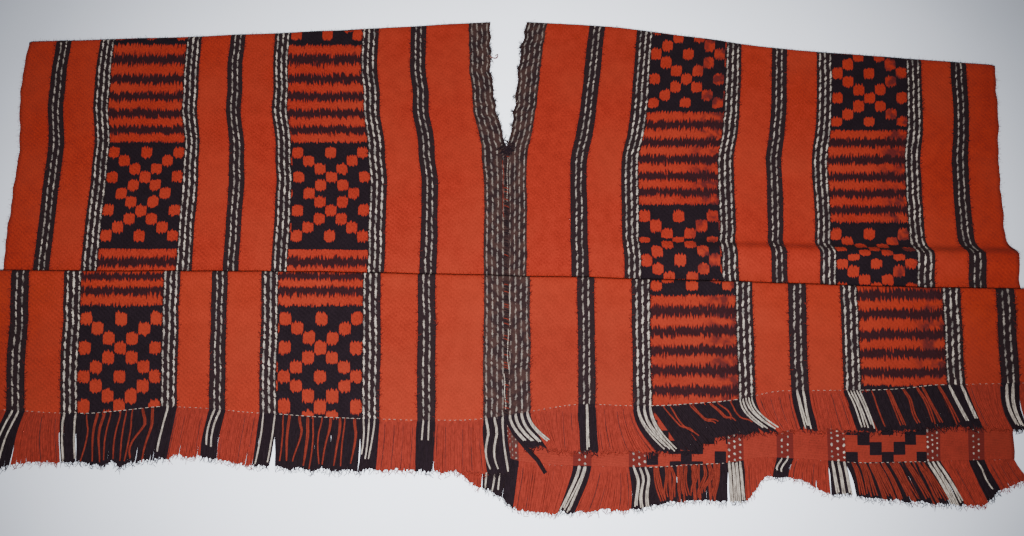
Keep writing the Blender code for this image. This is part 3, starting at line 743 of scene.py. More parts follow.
    # On the reverse the red takes the fringe's colours, which are darkened with painted shade among the
    # fringe's yarns
    upper_deep = cloth.fringe_dark if reverse else cloth.madder_dark
    upper_bright = cloth.fringe if reverse else cloth.madder
    deep = put("Mix RGBA", low, linear(upper_deep), linear(cloth.madder_low_dark))
    bright = put("Mix RGBA", low, linear(upper_bright), linear(cloth.madder_low))
    madder = put("Mix RGBA", tone, deep, bright)
    fade = put("MapRange", wash, 0.35, 0.7, 0.0, 0.35)
    madder = put("Mix RGBA", fade, madder, linear(cloth.rust if reverse else cloth.madder_worn))
    if not reverse:
        # The last hand's breadth before the hem is darkened toward umber with painted shade, most on the
        # right loom width
        hem_painted_shade = put("MapRange", v, 0.43, 0.54, 0.0, 1.0)
        on_right = put("Math GREATER_THAN", u, 0.0)
        hem_painted_shade = put("Math MULTIPLY", hem_painted_shade, put("Math MULTIPLY_ADD", on_right, 0.07, 0.09))
        madder = put("Mix RGBA", hem_painted_shade, madder, linear(cloth.umber))
    indigo = put("Mix RGBA", tone, linear(cloth.indigo), linear(cloth.indigo_worn))
    stripe_dark = put("Mix RGBA", put("Math MULTIPLY", in_stripes, 0.08), indigo, linear(cloth.madder_dark))
    ivory = put(
        "Mix RGBA", put("MapRange", blotch, 0.35, 0.65, 0.0, 1.0), linear(cloth.ivory_grey),
        linear(cloth.ivory),
    )
    if reverse:
        figure = put("Math SUBTRACT", 1.0, figure)
        ivory = put("Mix RGBA", put("Math GREATER_THAN", beat, 0.25), ivory, linear(cloth.madder_dark))
        ground_colour = put("Mix RGBA", 0.55, indigo, linear(cloth.madder_dark))
    else:
        ground_colour = indigo
    # A dash is greyed by chance, and more so in the double lines and at the seam
    greyed = put("MapRange", luck, 0.0, 1.0, 0.15, 0.95)
    dim = put(
        "Math MULTIPLY",
        put("Math MULTIPLY_ADD", doubled, 0.6, put("Math MULTIPLY_ADD", at_seam, 0.65, 0.15)), greyed,
    )
    ivory = put("Mix RGBA", dim, ivory, linear(cloth.heather))
    # The stripe at the seam is matted and browned by wear
    matted = put("Math MULTIPLY", put("MapRange", blotch, 0.42, 0.62, 0.0, 1.0), at_seam)
    browned = put("Math MULTIPLY_ADD", matted, 0.55, put("Math MULTIPLY_ADD", at_seam, 0.12, 0.18))
    ground_colour = put("Mix RGBA", browned, ground_colour, linear(cloth.umber))
    line = put("Math MULTIPLY", line, put("Math MULTIPLY_ADD", matted, -0.6, 1.0))
    lined = put("Mix RGBA", line, ground_colour, ivory)
    # The outer columns of the right loom width's figures took less of the red
    outer_columns = put(
        "Math MULTIPLY", put("MapRange", reach, 0.06, 0.08, 0.0, 1.0), put("Math GREATER_THAN", u, 0.0)
    )
    dull = put(
        "Math MULTIPLY", outer_columns, put("MapRange", blotch, 0.4, 0.62, 0.0, 0.0 if reverse else 0.7)
    )
    dotted = put("Mix RGBA", dull, madder, linear(cloth.indigo_worn))
    figured = put("Mix RGBA", figure, stripe_dark, dotted)
    is_figured = put("Math COMPARE", kind, 1.0, 0.1)
    is_lined = put("Math GREATER_THAN", kind, 1.5)
    colour = put("Mix RGBA", is_figured, madder, figured)
    colour = put("Mix RGBA", is_lined, colour, lined)
    height = put(
        "Math ADD", put("Math MULTIPLY", texture, 0.35),
        put("Math ADD", put("Math MULTIPLY", nap, 0.8), put("Math MULTIPLY", line, 0.5)),
    )
    wool_shader(material, colour, height, 0.0007)
    return material


def spun_wool(name, shades):
    """Plied wool yarn, as spun: unevenly dyed along the hank, with painted shade in the turns of the ply and
    painted highlight where fibres stand out of it.
    """
    material, put = new_material(name)
    at = put("TexCoord", outlet=3)
    hank = put("TexNoise", put("VectorMath MULTIPLY", at, (500.0, 150.0, 500.0)), 1.0, 2.0)
    ply = put("TexNoise", at, 1100.0, 2.0)
    # The ply's noise also raises the bump: painted shade in its turns and painted highlight on its tops; the
    # hank's noise is the yarn's own uneven tone
    tone = put("Math ADD", put("Math MULTIPLY", hank, 0.7), put("Math MULTIPLY", ply, 0.5))
    tone = put("MapRange", tone, 0.4, 0.8, 0.0, 1.0)
    colour = put("Mix RGBA", tone, linear(shades[0]), linear(shades[1]))
    wool_shader(material, colour, ply, 0.0004)
    return material


def yarns(cloth):
    """The five dyed yarns that the fringe and the sewing use, by name."""
    made = {}
    for name, shades in (
        # The fringe's red yarn is darkened with painted shade among its yarns
        ("madder", (cloth.fringe_dark, cloth.fringe)),
        ("indigo", (cloth.indigo, cloth.indigo_worn)),
        ("ivory", (cloth.heather, cloth.ivory)),
        ("rust", (cloth.rust_dark, cloth.rust)),
        ("umber", (cloth.indigo_worn, cloth.umber)),
    ):
        material = bpy.data.materials.get(name + "_spun_wool")
        made[name] = material or spun_wool(name + "_spun_wool", shades)
    return made


# Making pieces


def add_object(name, data):
    """A new object with its data, linked to the scene."""
    piece = bpy.data.objects.new(name, data)
    bpy.context.scene.collection.objects.link(piece)
    return piece


def spin_yarns(name, strands, thickness, sides, materials):
    """Makes round yarns of (material name, points, thickness against the rest's) into one mesh piece."""
    curve = bpy.data.curves.new(name, "CURVE")
    curve.dimensions = "3D"
    curve.bevel_depth = thickness / 2
    curve.bevel_resolution = (sides - 4) // 2
    curve.use_fill_caps = True
    order = list(materials)
    for material in materials.values():
        curve.materials.append(material)
    for shade, points, weight in strands:
        spline = curve.splines.new("POLY")
        spline.points.add(len(points) - 1)
        spline.material_index = order.index(shade)
        spline.use_smooth = True
        for k, (point, at) in enumerate(zip(spline.points, points)):
            point.co = (*at, 1.0)
            share = k / (len(points) - 1)
            point.radius = weight * (1.0 - 0.2 * smooth((share - 0.8) / 0.2))
    holder = bpy.data.objects.new(name + "_curve", curve)
    bpy.context.scene.collection.objects.link(holder)
    mesh = bpy.data.meshes.new_from_object(holder.evaluated_get(bpy.context.evaluated_depsgraph_get()))
    bpy.data.objects.remove(holder)
    mesh.name = name
    return add_object(name, mesh)


def cloth_columns():
    """Places across the panel with the band that lies outside each, no two further apart than COLUMN."""
    columns = []
    start = 0.0
    for band in BANDS:
        cells = math.ceil(band.width / COLUMN)
        columns += [(start + band.width * k / cells, band, band.width * k / cells) for k in range(cells)]
        start += band.width
    return columns


def band_mark(band, local):
    """What the weave's drawing needs to know of one place in a band: how far into it, or past its first white
    line, the place lies, and its kind, which is 0 for plain, 1 for figured and else the number of lines."""
    if band.kind == "plain":
        return local, 0.0
    if band.kind == "figured":
        return local, 1.0
    return local - band.first_line, float(band.lines)


def lay_cloth(name, lay, side, materials):
    """One loom width as a thin sheet over its solid, with the cloth's own lengths as its UV maps."""
    columns = cloth_columns()
    places = [at / LOOM_WIDTH for at, _, _ in columns] + [1.0]
    sections = [section(lay, across) for across in places]
    count = len(sections[0])
    bm = bmesh.new()
    grid = bmesh.ops.create_grid(bm, x_segments=len(columns), y_segments=count - 1, size=0.5)
    points = []
    lengths = []
    for across, rows_of in zip(places, sections):
        line = [Vector(place(lay, side, part, across, y, z)) for part, y, z in rows_of]
        shoulder = max(range(count), key=lambda k: line[k].y)
        length = [0.0]
        for a, b in zip(line, line[1:]):
            length.append(length[-1] + math.hypot(b.y - a.y, b.z - a.z))
        lengths.append([value - length[shoulder] for value in length])
        points.append([
            settle(lay, part, across, *at) for (part, _, _), at in zip(rows_of, line)
        ])
    cell = {}
    for vertex in grid["verts"]:
        i = round((vertex.co.x + 0.5) * len(columns))
        j = round((vertex.co.y + 0.5) * (count - 1))
        vertex.co = points[i][j]
        cell[vertex] = (i, j)
    charts = {}
    for band_name, chart in lay.charts.items():
        charts[band_name] = [chart_rows(chart, rows_of) for rows_of in sections]
    any_chart = next(iter(charts.values()))
    cloth_uv = bm.loops.layers.uv.new("Cloth")
    band_uv = bm.loops.layers.uv.new("Band")
    chart_uv = bm.loops.layers.uv.new("Chart")
    for face in bm.faces:
        corners = [cell[vertex] for vertex in face.verts]
        inner = min(i for i, _ in corners)
        _, band, local = columns[inner]
        rows_here = charts.get(band.name, any_chart)
        for loop in face.loops:
            i, j = cell[loop.vert]
            at = local + (places[i] - places[inner]) * LOOM_WIDTH
            row = rows_here[i][j]
            number = math.floor((row + BLOCK_START) / CHART_REPEAT)
            loop[cloth_uv].uv = (side * places[i] * LOOM_WIDTH, lengths[i][j])
            loop[band_uv].uv = band_mark(band, at)
            loop[chart_uv].uv = (row, float(bool(lay.short_blocks) and number % 2 == 1))
    if side > 0:
        bmesh.ops.reverse_faces(bm, faces=bm.faces[:])
    mesh = bpy.data.meshes.new(name)
    bm.to_mesh(mesh)
    bm.free()
    mesh.shade_smooth()
    for material in materials:
        mesh.materials.append(material)
    piece = add_object(name, mesh)
    wall = piece.modifiers.new("Wall", "SOLIDIFY")
    wall.thickness = CLOTH - 0.0002
    wall.offset = 0.0
    wall.use_even_offset = True
    wall.material_offset = 1
    wall.material_offset_rim = 0
    return piece


def chart_rows(chart, rows_of):
    """The chart's row for each point of one section, carried evenly through the hidden fold."""
    found = []
    for part, y, _ in rows_of:
        found.append(None if part == "fold" else chart_row(getattr(chart, part), y))
    first = next(k for k, row in enumerate(found) if row is None)
    last = max(k for k, row in enumerate(found) if row is None)
    start, end = found[first - 1], found[last + 1]
    for k in range(first, last + 1):
        found[k] = start + (end - start) * (k - first + 1) / (last - first + 2)
    return found


def warp_band(across):
    """The band of the weave at a place across the panel, and how far into it that place lies."""
    at = across * LOOM_WIDTH
    for band in BANDS:
        if at < band.width:
            return band, at
        at -= band.width
    return BANDS[-1], BANDS[-1].width


def hanging_yarn(lay, layer, start, length, drift, bulge, waver, lift, rise):
    """Points along one yarn that hangs from its start at the hem: how far it drifts, bulges and wavers
    sideways on its way to the tip, how high it lies on its neighbours, and how far its tip curls up."""
    across, root, under = start
    points = []
    for step in range(YARN_POINTS):
        share = step / (YARN_POINTS - 1)
        x = root[0] + drift * share ** 1.4 + bulge * math.sin(math.pi * share)
        x += waver[0] * math.sin(math.tau * waver[1] * share + waver[2]) * min(1.0, 3 * share)
        fall = share - rise * smooth((share - 0.5) / 0.5)
        y = root[1] + YARN_UNDER_HEM - (length + YARN_UNDER_HEM) * fall
        rest = max(YARN_ON_CLOTH, lock_rest(lay, layer, across, y))
        free = 1.0 if layer == "front" else smooth((under - y) / 0.012)
        z = root[2] + (rest - root[2]) * smooth(share * 2.2) + lift * smooth(share * 5) * free
        points.append((x, y, max(YARN_LOWEST, z)))
    return points


def fringe_strands(lay, side, side_name, layer, spacing, chance):
    """The warp ends of one hem: an even mass of yarns, then the pale and rust strands that lie on it."""
    part, hem, tips, lean = {
        "front": ("lower", lay.front_hem, lay.front_tips, lay.front_lean),
        "back": ("back", lay.back_hem, lay.back_tips, lay.back_lean),
    }[layer]
    level = FRONT_LEVEL if layer == "front" else BACK_LEVEL
    tresses = TRESSES[side_name, layer]
    strands = []

    def start_at(across):
        """Where a yarn starts, how far it could hang, and where the front's tips end above it."""
        root = settle(lay, part, across, *on_hem(lay, side, part, hem, across, level))
        under = along(lay.front_tips, across, "y") + TIP_GAP
        return (across, root, under), root[1] - along(tips, across, "y")

    def hang(across, shade, sideways, bulge, stray, share, lift, thick):
        """One yarn of the mass."""
        begin, full = start_at(min(0.999, max(0.001, across)))
        drift = side * (along(lean, begin[0], "outward") + sideways)
        waver = (chance.uniform(-1, 1) * stray, chance.uniform(0.4, 1.0), chance.uniform(0, 1))
        points = hanging_yarn(lay, layer, begin, full * share, drift, side * bulge, waver, lift, 0.0)
        strands.append((shade, points, thick))

    def beside(at, which):
        """The sweep or the bulge of a plain band's yarns, which follow the locks at both its sides."""
        reached = 0.0
        shifts = [Lean(0, 0.0)]
        for band in BANDS:
            if band.name in tresses:
                shifts.append(Lean(reached + band.width / 2, getattr(tresses[band.name], which) * 0.9))
            reached += band.width
        return along([*shifts, Lean(reached, 0.0)], at, "outward")

    def fray(tip, shade):
        """A single fibre at a yarn's tip."""
        out = Vector((chance.gauss(0, 0.6), -1, 0)).normalized() * chance.uniform(0.002, 0.008)
        curl = Vector((chance.gauss(0, 0.0015), chance.gauss(0, 0.001), 0))
        hair = [Vector(tip) - out * 0.3, Vector(tip) + out * 0.5 + curl, Vector(tip) + out - curl * 0.5]
        strands.append((shade, [(p.x, p.y, max(0.0006, p.z)) for p in hair], chance.uniform(0.14, 0.26)))

    def hang_mass(band, start, tress):
        """The even mass of one band's yarns, with a thin dark one now and then in a plain band as painted
        shade for its grooves.
        """
        plain = band.kind == "plain"
        edges = [at / LOOM_WIDTH for at in (start, start + band.width)]
        fan = (along(lean, edges[1], "outward") - along(lean, edges[0], "outward")) / band.width
        fan += (beside(start + band.width, "sweep") - beside(start, "sweep")) / band.width
        crowding = (1.12 if plain else 1.25) * (1 + max(0, min(0.9, fan)))
        count = round(band.width / spacing * crowding)
        for k in range(count):
            at = (k + 0.5 + chance.uniform(-0.2, 0.2)) * band.width / count
            off = at / band.width - 0.5
            shade = "madder" if plain else "indigo"
            if band.kind == "figured" and layer == "back" and uneven_at(at * 190, 0, side) > 0.16:
                shade = "rust"
            sweep = tress.sweep * 0.9 - 0.06 * band.width * off if tress else beside(start + at, "sweep")
            bulge = 0.8 * (tress.bulge if tress else beside(start + at, "bulge"))
            uneven = 0.99 + 0.07 * uneven_at((start + at) * 70, 2.0 + side, len(layer))
            uneven += 0.05 * uneven_at((start + at) * 230, 4.0 + side, len(layer))
            uneven += chance.uniform(-0.03, 0.01)
            across = (start + at) / LOOM_WIDTH
            stray = PLAIN_STRAY if plain else DARK_STRAY
            lift = chance.uniform(0.0, 0.0016)
            hang(across, shade, sweep, bulge, stray, uneven, lift, chance.uniform(0.85, 1.15))
            fray(strands[-1][1][-1], shade)
            # A thin dark yarn as painted shade in the grooves of the fringe
            if plain and k % SHADE_YARN_EVERY == SHADE_YARN_EVERY // 2:
                hang(across, "umber", sweep, bulge, PLAIN_STRAY, uneven * 0.97, 0.0017, 0.30)

    def lay_tress(band, start, tress):
        """The pale or rust strands of one band, each of a few plies."""
        lined = band.kind == "lines"
        middle = band.first_line + LINE_PITCH * (band.lines - 1) / 2 if lined else band.width / 2
        span = LINE_PITCH * (band.lines - 1) if lined else band.width - 0.012
        spread_out = tress.count / max(1, tress.count - 1) if lined else 1
        for k in range(tress.count):
            off = (k + 0.5) / tress.count - 0.5
            off += 0 if lined else chance.uniform(-0.45, 0.45) / tress.count
            at = start + (middle + off * span * spread_out)
            plies = max(1, round(tress.thick / 0.0021 + (0 if lined else chance.uniform(-0.7, 1.0))))
            length = tress.length * chance.uniform(0.90, 1.02)
            sway = uneven_at(at * 26, 5.0 if layer == "back" else 1.0, side)
            bend = tress.waver * (2.8 * sway + chance.uniform(-0.5, 0.5))
            waver = (bend, 0.55 + 0.5 * sway + chance.uniform(-0.08, 0.08), 1.5 * sway)
            rise = tress.rise * chance.uniform(0.4, 1.3)
            begin, full = start_at(at / LOOM_WIDTH)
            drift = along(lean, begin[0], "outward") + tress.sweep - tress.gather * off * span
            for ply in range(plies):
                shift = (ply - (plies - 1) / 2) * PLY_SPACING
                spread = shift * (0.7 + 0.5 * math.sin(3 * ply + k))
                points = hanging_yarn(
                    lay, layer, begin, full * length * chance.uniform(0.93, 1.03), side * (drift + spread),
                    side * tress.bulge + chance.uniform(-0.0004, 0.0004), waver,
                    0.0024 + 0.0007 * (ply % 2), rise,
                )
                points = [(x + shift * (0.6 if lined else 1), y, z) for x, y, z in points]
                strands.append(("ivory" if lined else "rust", points, 0.95))

    start = 0.0
    for band in BANDS:
        tress = tresses.get(band.name)
        hang_mass(band, start, tress)
        if tress:
            lay_tress(band, start, tress)
        start += band.width
    if (side_name, layer) == ("right", "front"):
        for ply in range(3):
            out = (ply - 1) * 0.0012
            z = 0.0048 + 0.0006 * (ply % 2)
            strands.append(("indigo", [(x + out, y + out * 0.8, z) for x, y in STRAY_LOCK], 0.8))
    return strands


def lock_rest(lay, layer, across, y):
    """Height of a yarn's middle where it lies: on the floor, or on the back layer or its fringe."""
    if layer == "back":
        return YARN_ON_FLOOR
    past = along(lay.back_tips, across, "y") - TIP_GAP - y
    on_back = CLOTH + YARN_ON_CLOTH
    fall = (on_back - YARN_ON_FLOOR) * smooth(past / 0.03)
    return max(YARN_ON_FLOOR, on_back - fall - front_sink(across))


SECTIONS = {}  # parts of sections that surface has worked out, for reuse near them


def surface(lay, side, part, across, y):
    """A point on top of the cloth at a place along one section of a panel."""
    near = (side, part, round(across, 3))
    if near not in SECTIONS:
        SECTIONS[near] = [row for row in section(lay, near[2]) if row[0] == part]
    rows = SECTIONS[near]
    for (_, y1, z1), (_, y2, z2) in zip(rows, rows[1:]):
        if min(y1, y2) <= y <= max(y1, y2) and y1 != y2:
            z = z1 + (z2 - z1) * (y - y1) / (y2 - y1)
            if part != "lower" or y2 < y1:
                break
    else:
        z = rows[-1][2]
    settled = settle(lay, part, across, *place(lay, side, part, across, y, z))
    return Vector(settled) + Vector((0, 0, CLOTH / 2))


def hem_stitches(lay, side, layer, chance):
    """Running stitches along one hem, each diving into the cloth at both ends."""
    part, hem = ("lower", lay.front_hem) if layer == "front" else ("back", lay.back_hem)
    strands = []
    at = 0.004
    while at < LOOM_WIDTH - 0.008:
        long = chance.uniform(0.0034, 0.0048)
        band, _ = warp_band((at + long / 2) / LOOM_WIDTH)
        points = []
        for k in range(5):
            across = (at + long * k / 4) / LOOM_WIDTH
            point = surface(lay, side, part, across, along(hem, across, "y") + STITCH_LINE)
            deep = 0.0006 if band.kind == "plain" else 0.0003
            points.append(point + Vector((0, 0, 0.0007 * math.sin(math.pi * k / 4) - deep)))
        if band.kind != "lines":
            strands.append(("ivory", points, 0.5 if band.kind == "plain" else 0.9))
        at += long + chance.uniform(0.0014, 0.0034)
    return strands


# Lengths of joining yarn that have worked loose and lie along the seam: side, part, place across, from, to
LOOSE_SEAM_YARNS = (
    (-1, "upper", 0.0070, 0.122, 0.040, "rust"),
    (-1, "upper", 0.0105, 0.100, 0.010, "umber"),
    (1, "upper", 0.0012, 0.126, 0.062, "ivory"),
    (1, "upper", 0.0060, 0.080, -0.030, "umber"),
    (-1, "upper", 0.0150, 0.128, 0.070, "umber"),
    (1, "lower", 0.0060, -0.055, -0.120, "ivory"),
    (1, "lower", 0.0030, -0.112, -0.165, "ivory"),
    (-1, "lower", 0.0030, -0.170, -0.215, "ivory"),
    (1, "lower", 0.0015, -0.188, -0.206, "rust"),
    (1, "lower", 0.0075, -0.090, -0.200, "umber"),
)


def seam_stitches(chance):
    """Overcast stitches that join the two loom widths, from the foot of the neck slit to the front hem."""
    strands = []
    for part, start, end in (("upper", 0.134, -0.034), ("lower", -0.052, -0.222)):
        y = start
        while y > end:
            reach = chance.uniform(0.0026, 0.0040)
            slant = chance.uniform(0.0010, 0.0034)
            left = surface(LEFT, -1, part, reach / LOOM_WIDTH, y)
            right = surface(RIGHT, 1, part, reach / LOOM_WIDTH, y - slant)
            middle = (left + right) / 2 + Vector((0, 0, 0.0007))
            down = Vector((0, 0, -0.0006))
            shade = chance.choice(("umber", "umber", "indigo", "indigo", "rust"))
            points = (left + down, left.lerp(middle, 0.5), middle, middle.lerp(right, 0.5), right + down)
            strands.append((shade, points, 1.0))
            y -= chance.uniform(0.0026, 0.0040)
    steps = 22
    for side, part, across, start, end, shade in LOOSE_SEAM_YARNS:
        lay = LEFT if side < 0 else RIGHT
        points = []
        for k in range(steps):
            y = start + (end - start) * k / (steps - 1)
            at = across + 0.0040 * uneven_at(y * 45, across * 300, 3.0)
            points.append(surface(lay, side, part, max(0.0004, at), y) + Vector((0, 0, 0.0003)))
        strands.append((shade, points, 0.9))
    return strands


def slit_darning(chance):
    """The darned foot of the neck slit, ravelled yarn along its two edges, and one loose end."""
    strands = []
    for _ in range(90):
        x = SEAM_X + chance.gauss(0, 0.0042)
        centre = Vector((x, SLIT_FOOT + chance.gauss(0, 0.0055), SLIT_FOOT_HEIGHT))
        way = chance.uniform(-0.9, 0.9) + (math.pi / 2 if chance.random() < 0.6 else 0.0)
        long = chance.uniform(0.006, 0.013)
        points = []
        for k in range(6):
            share = k / 5 - 0.5
            points.append((
                centre.x + long * share * math.cos(way) + 0.001 * math.sin(9 * share + way),
                centre.y + long * share * math.sin(way),
                centre.z + 0.0014 * math.cos(math.pi * share) - 0.0004,
            ))
        strands.append((chance.choice(("indigo", "indigo", "indigo", "umber")), points, 0.8))
    for _, lay, side in SIDES:
        for _ in range(46):
            y = chance.uniform(0.150, 0.334)
            long = chance.uniform(0.008, 0.018)
            out = chance.uniform(-0.0016, 0.0012)
            points = []
            for k in range(6):
                at_y = y - long * (k / 5 - 0.5)
                point = surface(lay, side, "upper", 0.001, at_y)
                waver = 0.0009 * math.sin(k * 2.1 + y * 900)
                x = point.x - side * (out + waver)
                points.append((x, at_y, point.z - chance.uniform(0.0002, 0.0014)))
            strands.append((chance.choice(("indigo", "indigo", "umber", "ivory")), points, 0.5))
    for _, lay, side in SIDES:
        for _ in range(7):
            y = chance.uniform(0.165, 0.330)
            for _ in range(9):
                root = surface(lay, side, "upper", 0.001, y + chance.gauss(0, 0.0012))
                out = Vector((-side, chance.gauss(0, 0.9), chance.uniform(-0.5, 0.1))).normalized()
                long = chance.uniform(0.0025, 0.0055)
                curl = Vector((0, chance.gauss(0, 1), 0)) * long * 0.5
                points = [root - out * 0.002, root + out * long * 0.5, root + out * long + curl]
                strands.append(("indigo", [(p.x, p.y, max(0.0008, p.z - 0.0008)) for p in points], 0.6))
    start = surface(LEFT, -1, "upper", 0.002, 0.283)
    for ply in (-1, 1):
        loose = [
            (
                start.x + 0.0115 * math.sin(0.26 * k + 0.1 * ply),
                start.y - 0.0034 * math.sin(k * 0.62 + 0.3 * ply),
                start.z - 0.0030 * k / 11 + 0.0004 * ply,
            )
            for k in range(10)
        ]
        strands.append(("rust", loose, 0.9))
    return strands


def edge_hairs(count, chance):
    """Fine hairs that stand out of the cloth along its selvedges, folds and slit."""
    strands = []
    for _, lay, side in SIDES:
        for _ in range(count):
            where = chance.random()
            across = chance.random()
            if where < 0.34:
                y = along(lay.shoulder, across, "y")
                point = Vector(place(lay, side, "upper", across, y - 0.001, 0.0030))
                point = Vector(settle(lay, "upper", across, *point))
                out = Vector((chance.gauss(0, 0.6), 1.0, chance.uniform(-0.2, 0.5)))
            elif where < 0.62:
                y = along(lay.tuck, across, "y")
                at = place(lay, side, "lower", across, y - 0.002, 0.0105)
                point = Vector(settle(lay, "lower", across, *at))
                out = Vector((chance.gauss(0, 0.8), 1.0, chance.uniform(0.0, 0.9)))
            elif where < 0.88:
                part = chance.choice(("upper", "lower"))
                corner = along(lay.shoulder, 0.999, "y") - 0.005
                low, high = (-0.03, min(0.30, corner)) if part == "upper" else (-0.215, -0.06)
                y = chance.uniform(low, high)
                point = surface(lay, side, part, 0.999, y) - Vector((0, 0, 0.0012))
                across = 0.999
                out = Vector((side, chance.gauss(0, 0.6), chance.uniform(-0.1, 0.5)))
            else:
                y = chance.uniform(0.15, 0.33)
                point = surface(lay, side, "upper", 0.001, y) - Vector((0, 0, 0.0010))
                across = 0.001
                out = Vector((-side, chance.gauss(0, 0.7), chance.uniform(-0.2, 0.4)))
            shade = "madder" if warp_band(across)[0].kind == "plain" else "indigo"
            out.normalize()
            long = chance.uniform(0.0015, 0.0048)
            curl = Vector((chance.gauss(0, 1), chance.gauss(0, 1), 0)) * long * 0.35
            points = [point - out * 0.001, point + out * long * 0.5 + curl * 0.3, point + out * long + curl]
            points = [(p.x, p.y, max(0.0003, p.z)) for p in points]
            strands.append((shade, points, 0.4))
    return strands


def crossing_hairs(lay, side, count, chance):
    """Fine hairs that lie across the edges of the dark bands, where the fulled wool has blurred them."""
    edges = []
    start = 0.0
    for band, following in zip(BANDS, BANDS[1:]):
        start += band.width
        for sign, here, there in ((1, band, following), (-1, following, band)):
            if there.kind != here.kind:
                edges.append((start, sign, "madder" if here.kind == "plain" else "indigo"))
    dark = [edge for edge in edges if edge[2] == "indigo"]
    strands = []
    for _ in range(count):
        start, sign, shade = chance.choice(dark if chance.random() < 0.75 else edges)
        part = "upper" if chance.random() < 0.6 else "lower"
        across = start / LOOM_WIDTH
        if part == "upper":
            y = chance.uniform(along(lay.tuck, across, "y") - 0.015, along(lay.shoulder, across, "y") - 0.006)
        else:
            y = chance.uniform(along(lay.front_hem, across, "y"), along(lay.tuck, across, "y") - 0.004)
        long = chance.uniform(0.0025, 0.0060)
        slope = chance.gauss(0, 1.4)
        reach = long / math.hypot(1, slope)
        points = []
        for share in (0.0, 0.5, 1.0):
            at = start + sign * (reach * share - 0.0012 + 0.0004 * math.sin(5 * share))
            at_y = y + slope * reach * share + 0.3 * long * share * share
            points.append(surface(lay, side, part, at / LOOM_WIDTH, at_y) + Vector((0, 0, 0.0002)))
        strands.append((shade, points, chance.uniform(0.6, 1.2)))
    return strands


# The user's settings


# Each dyed wool's label, what it colours and its sRGB colour
DYES = {
    # Where a deep and a bright colour are mixed by the cloth's nap and twill or by a yarn's ply, the deep one
    # is partly painted shade in their hollows and the bright one partly painted highlight on their tops
    "madder": ("Madder", "Bright of the red wool", "#852417"),
    "madder_dark": ("Madder, deep", "Hollows of the red wool", "#641A11"),
    # The lower tier's red colours are a copy of the upper tier's, kept apart as painted light
    "madder_low": ("Madder, lower tier", "Bright of the red wool near the hem", "#812415"),
    "madder_low_dark": ("Madder, lower tier, deep", "Hollows of the red wool near the hem", "#641C11"),
    "madder_worn": ("Madder, worn", "Faded red wool", "#7E2C1B"),
    # The fringe's red is the red wool darkened with painted shade among the fringe's yarns; the cloth's
    # reverse takes the same colours
    "fringe": ("Madder, fringe", "Bright of the red fringe and reverse", "#72251C"),
    "fringe_dark": ("Madder, fringe, deep", "Hollows of the red fringe and reverse", "#541C15"),
    "rust": ("Rust", "Bright of the rust strands in the dark fringe", "#66251B"),
    "rust_dark": ("Rust, deep", "Hollows of the rust strands", "#451711"),
    "indigo": ("Indigo", "Deep of the dark wool", "#100A0E"),
    "indigo_worn": ("Indigo, worn", "Nap of the dark wool", "#1A1217"),
    "ivory": ("Ivory", "Undyed wool", "#A0968A"),
    "ivory_grey": ("Ivory, soiled", "Hollows of the undyed wool", "#5C5854"),
    "heather": ("Heather", "Undyed wool spun with dark", "#4E4743"),
    "umber": ("Umber", "Brown wool that joins the loom widths", "#32221F"),
}


class ClothSettings(bpy.types.PropertyGroup):
    """Colours of the dyed wool."""

    __annotations__ = {
        key: bpy.props.StringProperty(name=label, description=use + ", sRGB", default=colour)
        for key, (label, use, colour) in DYES.items()
    }


class FringeSettings(bpy.types.PropertyGroup):
    """Sizes of the fringe."""

    spacing: bpy.props.FloatProperty(
        name="Yarn spacing", description="From one warp yarn to the next", default=0.0014, min=0.001,
        unit="LENGTH",
    )
    thickness: bpy.props.FloatProperty(
        name="Yarn thickness", description="Across one plied yarn", default=0.0024, min=0.0005, unit="LENGTH"
    )
    fibres: bpy.props.IntProperty(
        name="Loose fibres", description="Along the edges of each loom width", default=2400, min=0
    )
    blur: bpy.props.IntProperty(
        name="Nap fibres", description="Across the edges of each loom width's bands", default=6000, min=0
    )


class StageSettings(bpy.types.PropertyGroup):
    """The sheet that the poncho lies on, and its light."""

    sheet: bpy.props.StringProperty(name="Sheet", description="Colour of the sheet, sRGB", default="#E7ECF7")
    flash: bpy.props.FloatProperty(
        name="Flash", description="Strength of the light beside the camera", default=240.0, min=0.0,
        unit="POWER",
    )
    glow: bpy.props.FloatProperty(
        name="Glow", description="How far the middle of the sheet is paler than its cotton allows",
        default=0.9, min=0.0,
    )


# Operators, one for each piece or group of like pieces


class PONCHO_OT_cloth(bpy.types.Operator):
    """Lays the cloth of both loom widths over their solids"""

    bl_idname = "poncho.cloth"
    bl_label = "Cloth"
    bl_options = {"REGISTER", "UNDO"}

    def execute(self, context):
        cloth = context.scene.poncho_cloth
        face = woven_wool("fulled_wool_twill_face", cloth, False)
        reverse = woven_wool("fulled_wool_twill_reverse", cloth, True)
        for name, lay, side in SIDES:
            piece = lay_cloth(f"{name}_cloth", lay, side, (face, reverse))
            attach(piece, "root")
            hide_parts(f"{name}_panel")
        return {"FINISHED"}


class PONCHO_OT_fringe(bpy.types.Operator):
    """Spins the warp ends of each hem into a fringe"""

    bl_idname = "poncho.fringe"
    bl_label = "Fringe"
    bl_options = {"REGISTER", "UNDO"}

    def execute(self, context):
        settings = context.scene.poncho_fringe
        shades = yarns(context.scene.poncho_cloth)
        for name, lay, side in SIDES:
            for layer in ("front", "back"):
                chance = random.Random(f"{layer} {name}")
                strands = fringe_strands(lay, side, name, layer, settings.spacing, chance)
                piece = spin_yarns(f"{layer}_{name}_warp_ends", strands, settings.thickness, 6, shades)
                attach(piece, "root")
                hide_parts(f"{layer}_{name}_fringe")
        return {"FINISHED"}


